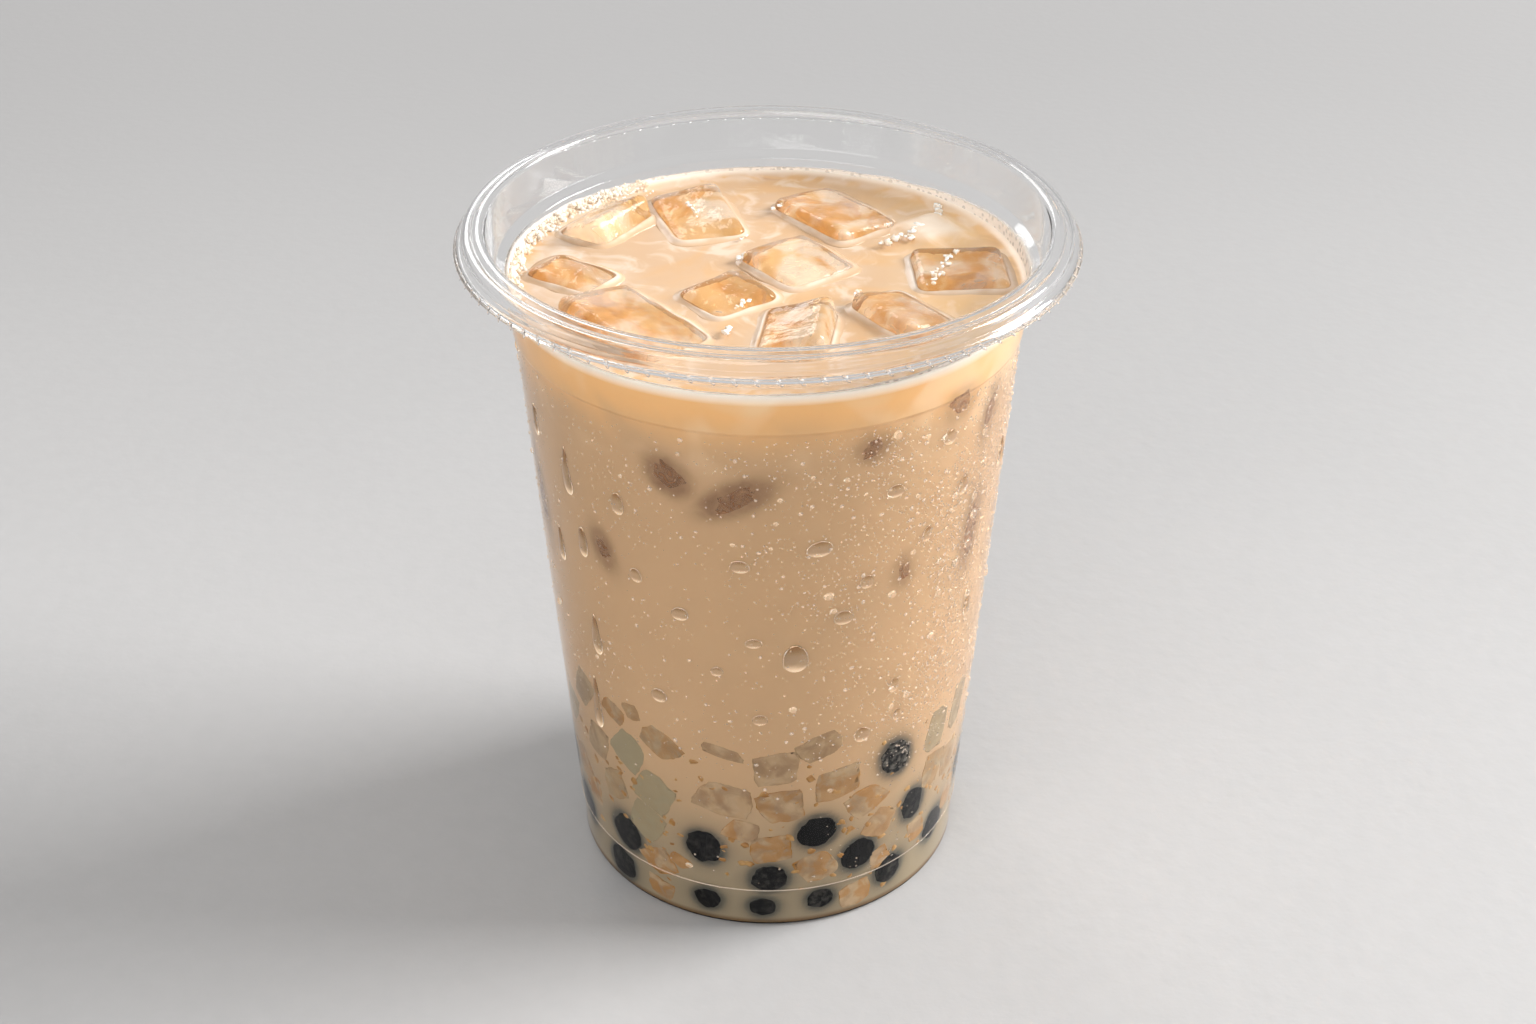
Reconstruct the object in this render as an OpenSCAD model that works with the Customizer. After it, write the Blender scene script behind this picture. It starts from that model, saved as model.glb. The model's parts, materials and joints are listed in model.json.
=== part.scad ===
// Bubble tea in an open clear plastic cup: the cup is one thermoformed sheet, the milk tea fills it
// up to the drink's level, and ice cubes float in the tea with their tops above it.
// The origin is the centre of the base, on the surface that the cup stands on. +Z is the cup's axis.

/* [Cup] */
// Height from the table to the highest point of the brim
cup_height = 121.4; // [101:0.2:146]
// Thickness of the plastic sheet
wall = 0.5; // [0.35:0.05:0.7]
// Outer diameter of the foot just above its rounded edge
foot_d = 69.2; // [57:0.2:84]
// Height of the foot, up to the small stacking step
foot_height = 8.4; // [6:0.2:12]
// Outer radius of the rounded edge between the foot and the base
foot_corner = 0.9; // [0.7:0.1:1.6]
// How much each side of the foot spreads from its edge to its top
foot_draft = 0.25; // [0:0.05:1]
// How far the body stands out from the foot at the stacking step
foot_step = 0.3; // [0.1:0.05:0.8]
// Width of the flat ring that the cup rests on
ring_width = 2.4; // [1:0.1:5]
// Height of the raised panel inside that ring
panel_rise = 2.2; // [0.8:0.1:4]

/* [Brim] */
// Outer diameter of the bead at the top
bead_d = 98.2; // [82:0.2:118]
// Width of the bead, from the edge of the mouth to its outside
bead_width = 3.9; // [3.4:0.1:5.5]
// Outer radius of the bead's two rounded ridges
bead_r = 1.1; // [0.8:0.05:1.3]
// How much lower the outer ridge is than the inner one
ridge_drop = 0.5; // [0.2:0.05:1]
// Distance from the top of the brim down to the bead's lower edge
bead_depth = 2.5; // [2.3:0.1:4]
// How far the thin skirt below the bead flares out beyond it
skirt_flare = 1.5; // [0.6:0.1:3]
// Distance from the bead's lower edge down to the end of the skirt
skirt_drop = 1.4; // [0.8:0.1:3]

/* [Shoulder] */
// Distance from the top of the brim down to the outer edge of the inner ledge
ledge_drop = 7.1; // [5:0.1:10]
// Width of the ledge
ledge_width = 1.5; // [0.6:0.1:2.5]
// Height of the slope that the ledge makes
ledge_rise = 1.2; // [0.6:0.1:2]
// How much the collar above the ledge narrows on its way down, each side
collar_draft = 0.8; // [0.2:0.1:2]
// Distance from the top of the brim down to the fine step in the wall
neck_drop = 17.3; // [13:0.1:24]
// Width and height of that step
neck_step = 0.35; // [0.1:0.05:0.8]
// How much the neck above the step widens up to the ledge, each side
neck_draft = 0.8; // [0:0.1:1.5]

/* [Tea] */
// Distance from the top of the brim down to the tea
headspace = 11; // [9:0.2:13]

/* [Ice] */
// Size of the cubes against the room that each has among the others
ice_fill = 1; // [0.6:0.05:1]
// Height of a cube
ice_height = 13.5; // [8:0.5:20]
// Radius of the melted edges
ice_round = 1.8; // [1.2:0.1:3]
// How much narrower a cube is at its lower end
ice_taper = 0.12; // [0:0.02:0.3]

/* [Hidden] */
$fn = 96;
ARC_STEPS = 8;           // flats in a quarter of a turn of the bead and of the foot's edge
SIDE_ARCS = 4;           // facets in each quarter of a cube's rounded edge
half = wall / 2;

foot_r = foot_d / 2;
foot_top_r = foot_r + foot_draft;
body_low_r = foot_top_r + foot_step;
bead_out_r = bead_d / 2;
mouth_r = bead_out_r - bead_width;
collar_low_r = mouth_r - collar_draft;
neck_top_r = collar_low_r - ledge_width;
neck_low_r = neck_top_r - neck_draft;
body_top_r = neck_low_r - neck_step;
ledge_z = cup_height - ledge_drop;
neck_z = cup_height - neck_drop;
tea_z = cup_height - headspace;
skirt_z = cup_height - bead_depth - skirt_drop;

// Inner radius of the neck at the tea's level, which the ice is laid out in
tea_r = neck_low_r + neck_draft * (tea_z - neck_z) / (ledge_z - neck_z) - half;

// Each cube: place and size across as shares of tea_r, the turn about the axis, the tilts about
// its own two sides, and how many millimetres the middle of its top stands above the tea.
//            x      y      width  depth  turn  tilt_x tilt_y proud
ICE = [
    [ -0.675,  0.480,  0.38,  0.235,   57,  -24,    0,  2.6 ],
    [ -0.290,  0.525,  0.31,  0.455,   17,    4,   -6,  1.6 ],
    [ -0.745, -0.010,  0.33,  0.240,  -34,    0,    5,  1.0 ],
    [ -0.485, -0.425,  0.58,  0.345,  -50,   -8,    3,  1.8 ],
    [ -0.152, -0.196,  0.31,  0.280,   38,    3,   -4,  1.6 ],
    [  0.120,  0.092,  0.34,  0.355,   38,    5,    0,  1.6 ],
    [  0.275,  0.548,  0.47,  0.320,  -52,   -5,    0,  1.8 ],
    [  0.655,  0.404,  0.22,  0.250,   33,    0,    0,  0.7 ],
    [  0.742,  0.022,  0.38,  0.350,    3,    3,    0,  1.8 ],
    [  0.514, -0.345,  0.38,  0.260,  -54,  -14,    0,  1.8 ],
    [  0.088, -0.480,  0.28,  0.370,   -8,    0,  -18,  2.2 ]
];

// Points on an arc of radius r about [cx, cy], from angle a to angle b
function arc(cx, cy, r, a, b, steps) =
    [for (i = [0 : steps]) let (t = a + (b - a) * i / steps) [cx + r * cos(t), cy + r * sin(t)]];

// Left-hand unit normal of the step from p to q
function normal(p, q) = let (d = q - p) [-d[1], d[0]] / norm(d);

// A path shifted sideways by dist to its left, with mitred corners
function shifted(path, dist) =
    [for (i = [0 : len(path) - 1])
        let (n_in = normal(path[max(i - 1, 0)], path[max(i, 1)]),
             n_out = normal(path[min(i, len(path) - 2)], path[min(i + 1, len(path) - 1)]),
             n_sum = n_in + n_out)
        path[i] + n_sum * dist / (1 + n_in * n_out)];

function reversed(list) = [for (i = [len(list) - 1 : -1 : 0]) list[i]];

// Middle of the sheet, as radius and height, from the centre of the base out to the body's top
BODY_LINE = concat(
    [[0, panel_rise + half],
     [foot_r - foot_corner - ring_width - panel_rise / 2, panel_rise + half],
     [foot_r - foot_corner - ring_width, half]],
    arc(foot_r - foot_corner, foot_corner, foot_corner - half, -90, 0, ARC_STEPS),
    [[foot_top_r - half, foot_height],
     [body_low_r - half, foot_height + foot_step],
     [body_top_r - half, neck_z],
     [neck_low_r - half, neck_z + neck_step],
     [neck_top_r - half, ledge_z - ledge_rise],
     [collar_low_r - half, ledge_z]]);

// Then over the two ridges of the bead, down its outside and out along the skirt
BRIM_LINE = concat(
    arc(mouth_r + bead_r, cup_height - bead_r, bead_r - half, 180, 50, ARC_STEPS),
    arc(bead_out_r - bead_r, cup_height - ridge_drop - bead_r, bead_r - half, 120, 0, ARC_STEPS),
    [[bead_out_r - half, cup_height - bead_depth],
     [bead_out_r + skirt_flare, skirt_z]]);

SHEET_LINE = concat(BODY_LINE, BRIM_LINE);

// Everything inside the cup's inner face, up to the ledge
module inner_space() {
    rotate_extrude()
        polygon(concat(shifted(BODY_LINE, half), [[0, ledge_z]]));
}

// One piece: base, foot, body, shoulder, bead and skirt
module cup() {
    color([0.92, 0.94, 0.96, 0.35])
        rotate_extrude()
            polygon(concat(shifted(SHEET_LINE, -half), reversed(shifted(SHEET_LINE, half))));
}

// A cube with rounded edges, its top centred on the origin and its lower end narrowed
module rounded_cube(size, r, taper) {
    ring = 4 * SIDE_ARCS;
    lats = [for (side = [-1, 1], k = [0 : SIDE_ARCS - 1])
            side < 0 ? -90 * (SIDE_ARCS - k - 0.5) / SIDE_ARCS : 90 * (k + 0.5) / SIDE_ARCS];
    half_size = size / 2;
    points = [for (lat = lats, i = [0 : ring - 1])
        let (lon = 360 * (i + 0.5) / ring,
             x = sign(cos(lon)) * (half_size[0] - r) + r * cos(lat) * cos(lon),
             y = sign(sin(lon)) * (half_size[1] - r) + r * cos(lat) * sin(lon),
             z = sign(sin(lat)) * (half_size[2] - r) + r * sin(lat) - half_size[2],
             narrow = 1 + taper * z / size[2])
        [x * narrow, y * narrow, z]];
    sides = [for (j = [0 : len(lats) - 2], i = [0 : ring - 1])
        let (n = (i + 1) % ring)
        [(j + 1) * ring + i, (j + 1) * ring + n, j * ring + n, j * ring + i]];
    ends = [[for (i = [0 : ring - 1]) i],
            [for (i = [ring - 1 : -1 : 0]) (len(lats) - 1) * ring + i]];
    polyhedron(points, concat(sides, ends));
}

module ice(i) {
    cube_row = ICE[i];
    size = [cube_row[2] * tea_r * ice_fill, cube_row[3] * tea_r * ice_fill, ice_height];
    color([0.93, 0.80, 0.62])
        translate([cube_row[0] * tea_r, cube_row[1] * tea_r, tea_z + cube_row[7]])
            rotate(cube_row[4])
                rotate([cube_row[5], 0, 0])
                    rotate([0, cube_row[6], 0])
                        rounded_cube(size, min(ice_round, size[1] / 3), ice_taper);
}

// The drink up to its level, cut round the ice
module tea() {
    color([0.80, 0.64, 0.48])
        difference() {
            intersection() {
                inner_space();
                cylinder(h = tea_z, r = bead_out_r);
            }
            for (i = [0 : len(ICE) - 1]) ice(i);
        }
}

cup();
tea();
for (i = [0 : len(ICE) - 1])
    ice(i);
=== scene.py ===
"""Finishes the packed cup of iced milk tea: cup, drink, ice, pearls, jelly, froth and condensation."""

import json
import math
import random

import bmesh
import bpy
import numpy as np
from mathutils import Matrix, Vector, noise

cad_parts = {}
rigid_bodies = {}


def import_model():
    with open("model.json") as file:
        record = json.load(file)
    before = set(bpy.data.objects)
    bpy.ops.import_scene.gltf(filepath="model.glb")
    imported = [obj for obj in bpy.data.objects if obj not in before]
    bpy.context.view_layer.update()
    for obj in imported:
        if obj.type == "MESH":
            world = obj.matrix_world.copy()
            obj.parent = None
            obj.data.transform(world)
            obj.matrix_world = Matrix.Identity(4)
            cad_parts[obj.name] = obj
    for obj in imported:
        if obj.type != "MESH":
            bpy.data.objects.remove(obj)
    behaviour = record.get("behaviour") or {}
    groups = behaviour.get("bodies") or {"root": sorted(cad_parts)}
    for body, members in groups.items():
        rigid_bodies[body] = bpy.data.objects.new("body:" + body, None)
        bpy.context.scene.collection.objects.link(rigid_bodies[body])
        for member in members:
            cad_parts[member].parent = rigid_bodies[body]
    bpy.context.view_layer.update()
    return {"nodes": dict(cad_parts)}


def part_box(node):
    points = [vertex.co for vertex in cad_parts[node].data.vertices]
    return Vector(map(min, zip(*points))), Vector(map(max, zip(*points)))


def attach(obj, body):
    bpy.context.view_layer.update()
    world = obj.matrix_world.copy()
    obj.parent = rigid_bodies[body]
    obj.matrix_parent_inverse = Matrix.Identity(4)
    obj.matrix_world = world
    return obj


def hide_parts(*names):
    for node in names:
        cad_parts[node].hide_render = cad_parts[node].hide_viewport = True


bl_info = {
    "name": "Iced Milk Tea",
    "version": (1, 0, 0),
    "blender": (4, 5, 0),
    "location": "3D View > Sidebar > Milk Tea",
    "description": "Clear cup of iced milk tea with pearls and jelly, built around a packed frame",
    "category": "Add Mesh",
}

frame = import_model()

CUP_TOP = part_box("cup")[1]
CUP_HEIGHT = CUP_TOP.z
SKIRT_R = CUP_TOP.x
TEA_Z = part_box("tea")[1].z
ICE_NODES = sorted((n for n in frame["nodes"] if n.startswith("ice_")), key=lambda n: int(n[4:]))
VEILED_ICE = "ice_8"             # the cube that the drink closes over
TEA_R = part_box("tea")[1].x       # radius of the drink's surface
FRONT = -math.pi / 2             # bearing of the side that faces the camera


# ---------------------------------------------------------------- properties

def length_prop(name, description, default):
    return bpy.props.FloatProperty(name=name, description=description, default=default, unit="LENGTH")


def power_prop(name, description, default):
    return bpy.props.FloatProperty(name=name, description=description, default=default, unit="POWER")


def share_prop(name, description, default):
    return bpy.props.FloatProperty(name=name, description=description, default=default)


def count_prop(name, description, default):
    return bpy.props.IntProperty(name=name, description=description, default=default)


def colour_prop(name, description, default):
    return bpy.props.FloatVectorProperty(
        name=name, description=description, default=default, subtype="COLOR", size=3)


class CupSizes(bpy.types.PropertyGroup):
    """Sizes of the thermoformed cup."""
    wall: length_prop("Wall", "Thickness of the sheet", 0.0005)
    foot_r: length_prop("Foot radius", "Outer radius of the foot above its edge", 0.0346)
    foot_height: length_prop("Foot height", "Height of the stacking step", 0.0084)
    foot_corner: length_prop("Foot corner", "Radius of the foot's lower edge", 0.0009)
    foot_draft: length_prop("Foot draft", "Spread of the foot up to the step", 0.00025)
    foot_step: length_prop("Foot step", "Width and height of the stacking step", 0.0003)
    ring_width: length_prop("Resting ring", "Width of the ring the cup rests on", 0.0024)
    panel_rise: length_prop("Panel rise", "Height of the raised base panel", 0.0022)
    bead_r: length_prop("Bead ridge radius", "Outer radius of the two ridges", 0.0011)
    bead_width: length_prop("Bead width", "From the mouth to the outside of the bead", 0.0039)
    bead_depth: length_prop("Bead depth", "From the top down to the bead's lower edge", 0.0025)
    ridge_drop: length_prop("Ridge drop", "How much lower the outer ridge is", 0.0005)
    skirt_flare: length_prop("Skirt flare", "How far the skirt stands out", 0.0015)
    skirt_drop: length_prop("Skirt drop", "From the bead's lower edge to the skirt's end", 0.0014)
    ledge_drop: length_prop("Ledge drop", "From the top down to the inner ledge", 0.0071)
    ledge_width: length_prop("Ledge width", "Width of the inner ledge", 0.0015)
    ledge_rise: length_prop("Ledge rise", "Height of the ledge's slope", 0.0012)
    collar_draft: length_prop("Collar draft", "How much the collar narrows downwards", 0.0008)
    neck_drop: length_prop("Neck drop", "From the top down to the fine step", 0.0173)
    neck_step: length_prop("Neck step", "Width and height of that step", 0.00035)
    neck_draft: length_prop("Neck draft", "How much the neck widens upwards", 0.0008)
    corner_r: length_prop("Corner radius", "Radius that softens the sheet's bends", 0.00035)
    rib_count: count_prop("Ribs", "Ribs round the skirt", 98)
    rib_width: length_prop("Rib width", "Width of a rib", 0.0009)
    rib_slant: length_prop("Rib slant", "Sideways run of a rib over its length", 0.0008)


class DrinkLook(bpy.types.PropertyGroup):
    """Shape and colours of the milk tea."""
    bite: length_prop("Bite", "How far the drink reaches into the wall", 0.0001)
    wall_climb: length_prop("Wall meniscus", "How far the drink climbs the wall", 0.0012)
    ice_climb: length_prop("Ice meniscus", "How far the drink climbs the ice", 0.00042)
    pocket_depth: length_prop("Pocket depth", "Depth seen through a cube of ice", 0.0024)
    veil: length_prop("Veil", "Height of the drink's skin over the sunk cube", 0.0010)
    froth_density: share_prop("Froth density", "Most bubbles per square metre of the froth's band", 4.5e6)
    # Strength of the drink's painted glow: under the ice, in the amber band near the wall, on the right
    # of the surface, just below the level and on the milky film.
    painted_glow: share_prop("Light under ice", "Light that clear ice gathers on the drink below it", 0.22)
    side_colour: colour_prop("Side", "Drink seen through the wall", (0.725, 0.487, 0.282))
    top_colour: colour_prop("Surface", "Open surface of the drink", (0.57, 0.375, 0.225))
    amber_colour: colour_prop("Amber", "Drink lit through ice and at the rim", (0.64, 0.345, 0.115))
    glow_colour: colour_prop("Glow", "Drink just below its surface, lit from above", (0.92, 0.56, 0.25))
    milk_colour: colour_prop("Milk", "Thin milky film", (0.92, 0.84, 0.74))
    halo_colour: colour_prop("Halo", "Tint of the drink round a pearl", (0.070, 0.078, 0.072))
    sunk_colour: colour_prop("Sunk ice", "Tint over ice just behind the wall", (0.20, 0.095, 0.055))


class ToppingSizes(bpy.types.PropertyGroup):
    """Pearls, jelly and what else lies in the drink."""
    proud: length_prop("Proud", "How far toppings press into the wall", 0.00022)
    seed: count_prop("Seed", "Fixes the toppings that are strewn by rule", 11)


class WaterSizes(bpy.types.PropertyGroup):
    """Condensation on the outside."""
    mist_count: count_prop("Mist", "Most specks of mist per square metre", 4200000)
    mist_r: length_prop("Mist radius", "Largest speck of mist", 0.00026)
    bead_count: count_prop("Beads", "Most beads per square metre", 520000)
    bead_r: length_prop("Bead radius", "Largest bead", 0.00044)
    drop_count: count_prop("Drops", "Most drops per square metre", 42000)
    drop_r: length_prop("Drop radius", "Largest strewn drop", 0.0010)
    seed: count_prop("Seed", "Fixes where drops lie", 5)


class StageLook(bpy.types.PropertyGroup):
    """Floor, lights and camera."""
    floor_colour: colour_prop("Floor", "Pale floor", (0.398, 0.391, 0.388))
    key_power: power_prop("Key power", "Large soft light on the right", 104.0)
    front_power: power_prop("Front power", "Wide light in front", 8.0)
    back_power: power_prop("Back power", "Soft light behind that glints on wet tops", 2.0)
    sky: share_prop("Sky", "Strength of the even light all round", 0.60)


GROUPS = {
    "tea_cup": CupSizes,
    "tea_drink": DrinkLook,
    "tea_toppings": ToppingSizes,
    "tea_water": WaterSizes,
    "tea_stage": StageLook,
}


# ---------------------------------------------------------------- node helpers

class Value:
    """A number socket, so that shader maths reads as plain expressions."""

    def __init__(self, finish, socket):
        self.finish = finish
        self.socket = socket

    def maths(self, operation, *others, clamp=False):
        made = self.finish.node("Math", {"operation": operation, "use_clamp": clamp},
                                dict(enumerate((self,) + others)))
        return Value(self.finish, made.outputs[0])

    def __add__(self, other):
        return self.maths("ADD", other)

    __radd__ = __add__

    def __mul__(self, other):
        return self.maths("MULTIPLY", other)

    __rmul__ = __mul__

    def __sub__(self, other):
        return self.maths("SUBTRACT", other)

    def __rsub__(self, other):
        return (self * -1.0) + other

    def step(self, low, high):
        """0 below low, 1 above high and smooth between."""
        made = self.finish.node(
            "MapRange", {"interpolation_type": "SMOOTHSTEP"},
            {"Value": self, "From Min": low, "From Max": high, "To Min": 0.0, "To Max": 1.0})
        return Value(self.finish, made.outputs[0])

    def capped(self):
        return self.maths("ADD", 0.0, clamp=True)


class Finish:
    """One procedural material: makes its nodes and wires them."""

    def __init__(self, name):
        self.material = bpy.data.materials.new(name)
        self.material.use_nodes = True
        self.tree = self.material.node_tree
        self.tree.nodes.clear()
        self.coords = self.node("TexCoord").outputs["Object"]

    def feed(self, socket, value):
        if isinstance(value, Value):
            value = value.socket
        if isinstance(value, bpy.types.NodeSocket):
            self.tree.links.new(value, socket)
        elif socket.type == "RGBA" and len(value) == 3:
            socket.default_value = (*value, 1.0)
        else:
            socket.default_value = value

    def node(self, kind, settings=None, inputs=None):
        made = self.tree.nodes.new("ShaderNode" + kind)
        for key, value in (settings or {}).items():
            setattr(made, key, value)
        for key, value in (inputs or {}).items():
            self.feed(made.inputs[key], value)
        return made

    def mix(self, factor, first, second):
        return self.node("Mix", {"data_type": "RGBA"}, {0: factor, 6: first, 7: second}).outputs[2]

    def stretched(self, scale):
        return self.node("Mapping", None, {"Vector": self.coords, "Scale": scale}).outputs[0]

    def noise(self, scale, detail=3.0, distortion=0.0, coords=None):
        made = self.node("TexNoise", None, {
            "Vector": coords or self.coords, "Scale": scale, "Detail": detail,
            "Distortion": distortion})
        return Value(self, made.outputs[0])

    def cells(self, scale):
        made = self.node("TexVoronoi", None, {"Vector": self.coords, "Scale": scale})
        return Value(self, made.outputs["Distance"])

    def attribute(self, name):
        return Value(self, self.node("Attribute", {"attribute_name": name}).outputs["Fac"])

    def along(self, axis):
        """How far a place lies along X, Y or Z, in metres."""
        made = self.node("SeparateXYZ", None, {0: self.coords})
        return Value(self, made.outputs[axis])

    def bump(self, value, distance, strength=1.0):
        return self.node("Bump", None, {
            "Height": value, "Distance": distance, "Strength": strength}).outputs[0]

    def principled(self, inputs):
        shader = self.node("BsdfPrincipled", None, inputs)
        output = self.node("OutputMaterial")
        self.tree.links.new(shader.outputs[0], output.inputs["Surface"])
        return self.material


class Recipe:
    """A geometry node group with named inputs, ending in realized and painted geometry."""

    def __init__(self, name, inputs):
        self.group = bpy.data.node_groups.new(name, "GeometryNodeTree")
        face = self.group.interface
        face.new_socket("Geometry", in_out="INPUT", socket_type="NodeSocketGeometry")
        for label, kind in inputs.items():
            face.new_socket(label, in_out="INPUT", socket_type="NodeSocket" + kind)
        face.new_socket("Geometry", in_out="OUTPUT", socket_type="NodeSocketGeometry")
        self.enter = self.group.nodes.new("NodeGroupInput")
        self.leave = self.group.nodes.new("NodeGroupOutput")

    def given(self, label):
        return self.enter.outputs[label]

    def node(self, kind, settings=None, inputs=None):
        made = self.group.nodes.new(kind)
        for key, value in (settings or {}).items():
            setattr(made, key, value)
        for key, value in (inputs or {}).items():
            socket = made.inputs[key]
            if isinstance(value, bpy.types.NodeSocket):
                self.group.links.new(value, socket)
            else:
                socket.default_value = value
        return made

    def maths(self, operation, first, second):
        return self.node("ShaderNodeMath", {"operation": operation}, {0: first, 1: second}).outputs[0]

    def finish(self, geometry):
        solid = self.node("GeometryNodeRealizeInstances", None, {0: geometry})
        painted = self.node("GeometryNodeSetMaterial", None, {
            "Geometry": solid.outputs[0], "Material": self.given("Material")})
        self.group.links.new(painted.outputs[0], self.leave.inputs[0])

    def grow(self, base, name, values):
        """Runs the group on an object and returns the result as a new plain mesh object."""
        modifier = base.modifiers.new("grow", "NODES")
        modifier.node_group = self.group
        for item in self.group.interface.items_tree:
            if item.in_out == "INPUT" and item.name in values:
                modifier[item.identifier] = values[item.name]
        bpy.context.view_layer.update()
        ready = base.evaluated_get(bpy.context.evaluated_depsgraph_get())
        mesh = bpy.data.meshes.new_from_object(ready)
        mesh.name = name
        shade_smooth(mesh)
        if not mesh.polygons:
            raise RuntimeError("no geometry came out of " + name)
        base.modifiers.remove(modifier)
        return link_object(name, mesh)


# ---------------------------------------------------------------- mesh helpers

def link_object(name, data):
    made = bpy.data.objects.new(name, data)
    bpy.context.scene.collection.objects.link(made)
    return made


def shade_smooth(mesh):
    mesh.polygons.foreach_set("use_smooth", [True] * len(mesh.polygons))


def make_object(name, points, faces, material, attributes=None, recalc=True):
    """A smooth mesh object from points and faces, with number attributes on its points."""
    mesh = bpy.data.meshes.new(name)
    mesh.from_pydata([tuple(p) for p in points], [], [tuple(f) for f in faces])
    if recalc:
        work = bmesh.new()
        work.from_mesh(mesh)
        bmesh.ops.recalc_face_normals(work, faces=work.faces)
        work.to_mesh(mesh)
        work.free()
    for label, values in (attributes or {}).items():
        layer = mesh.attributes.new(label, "FLOAT", "POINT")
        layer.data.foreach_set("value", np.asarray(values, np.float32))
    mesh.materials.append(material)
    shade_smooth(mesh)
    mesh.update()
    return link_object(name, mesh)


def arc(cx, cz, radius, start, end, steps):
    """Points on an arc, with the angles in degrees."""
    turns = [math.radians(start + (end - start) * i / steps) for i in range(steps + 1)]
    return [(cx + radius * math.cos(t), cz + radius * math.sin(t)) for t in turns]


def shifted(path, distance):
    """A path moved sideways to its left, with mitred corners."""
    path = np.array(path)
    steps = np.diff(path, axis=0)
    steps /= np.linalg.norm(steps, axis=1)[:, None]
    left = np.stack([-steps[:, 1], steps[:, 0]], 1)
    before = np.vstack([left[:1], left])
    after = np.vstack([left, left[-1:]])
    both = before + after
    return path + both * distance / (1 + (before * after).sum(1))[:, None]


def softened(path, radius, steps=4, support=0.0003):
    """A path with its sharp corners rounded and a support point on each side of them."""
    path = [np.array(p) for p in path]
    out = [path[0]]
    for before, corner, after in zip(path, path[1:], path[2:]):
        back = before - corner
        ahead = after - corner
        room = 0.45 * min(np.linalg.norm(back), np.linalg.norm(ahead))
        back_unit = back / np.linalg.norm(back)
        ahead_unit = ahead / np.linalg.norm(ahead)
        turn = math.pi - math.acos(max(-1.0, min(1.0, float(back_unit @ ahead_unit))))
        if turn < 0.25:
            out.append(corner)
            continue
        reach = min(radius * math.tan(turn / 2), room)
        if 0.49 * np.linalg.norm(back) > reach + support:
            out.append(corner + back_unit * (reach + support))
        for k in range(steps + 1):
            t = k / steps
            out.append(corner + back_unit * reach * (1 - t) ** 2 + ahead_unit * reach * t ** 2)
        if 0.49 * np.linalg.norm(ahead) > reach + support:
            out.append(corner + ahead_unit * (reach + support))
    out.append(path[-1])
    return [tuple(p) for p in out]


def spin(rows, segments):
    """Points and faces of a solid of revolution whose path starts and ends on the axis."""
    turns = np.arange(segments) * 2 * math.pi / segments
    rows = np.array(rows)
    inner = rows[1:-1]
    points = np.zeros((len(inner), segments, 3))
    points[:, :, 0] = inner[:, :1] * np.cos(turns)
    points[:, :, 1] = inner[:, :1] * np.sin(turns)
    points[:, :, 2] = inner[:, 1:2]
    points = points.reshape(-1, 3)
    ends = np.array([[0, 0, rows[0][1]], [0, 0, rows[-1][1]]])
    return np.vstack([points, ends]), ring_faces(len(inner), segments)


def grid_faces(rows, ring, start=0, closed_rows=False, closed_ring=True):
    """Four-cornered faces between rows of points, where each row is a ring unless it is open."""
    faces = []
    for i in range(rows if closed_rows else rows - 1):
        low = start + i * ring
        high = start + (i + 1) % rows * ring
        for j in range(ring if closed_ring else ring - 1):
            k = (j + 1) % ring
            faces.append((low + j, low + k, high + k, high + j))
    return faces


def ring_faces(rows, segments):
    """Faces of rows of points round an axis, closed by a pole point at each end."""
    faces = grid_faces(rows, segments)
    low = rows * segments
    for j in range(segments):
        k = (j + 1) % segments
        faces.append((low, k, j))
        faces.append((low + 1, (rows - 1) * segments + j, (rows - 1) * segments + k))
    return faces


def smoothstep(low, high, value):
    t = np.clip((value - low) / (high - low), 0.0, 1.0)
    return t * t * (3 - 2 * t)


def ripple(point, scale, seed=0.0):
    """Smooth noise from -1 to 1 at a point, with features about 1 / scale across."""
    return noise.noise(Vector(point) * scale + Vector((seed, 1.7 * seed, -seed)))


# ---------------------------------------------------------------- the cup's sheet

def body_line(cup):
    """Middle of the sheet from the centre of the base out and up to the ledge."""
    half = cup.wall / 2
    foot_top_r = cup.foot_r + cup.foot_draft
    body_low_r = foot_top_r + cup.foot_step
    mouth_r = bead_radius(cup) - cup.bead_width
    collar_low_r = mouth_r - cup.collar_draft
    neck_top_r = collar_low_r - cup.ledge_width
    neck_low_r = neck_top_r - cup.neck_draft
    ledge_z = CUP_HEIGHT - cup.ledge_drop
    neck_z = CUP_HEIGHT - cup.neck_drop
    ring_r = cup.foot_r - cup.foot_corner - cup.ring_width
    return [
        (0.0, cup.panel_rise + half),
        (ring_r - cup.panel_rise / 2, cup.panel_rise + half),
        (ring_r, half),
        *arc(cup.foot_r - cup.foot_corner, cup.foot_corner, cup.foot_corner - half, -90, 0, 8),
        (foot_top_r - half, cup.foot_height),
        (body_low_r - half, cup.foot_height + cup.foot_step),
        (neck_low_r - cup.neck_step - half, neck_z),
        (neck_low_r - half, neck_z + cup.neck_step),
        (neck_top_r - half, ledge_z - cup.ledge_rise),
        (collar_low_r - half, ledge_z),
    ]


def bead_radius(cup):
    """Outer radius of the bead, from the frame's widest point less the skirt."""
    slope = Vector((cup.skirt_flare, cup.skirt_drop)).normalized()
    return SKIRT_R - cup.skirt_flare - cup.wall / 2 * slope.y


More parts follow.
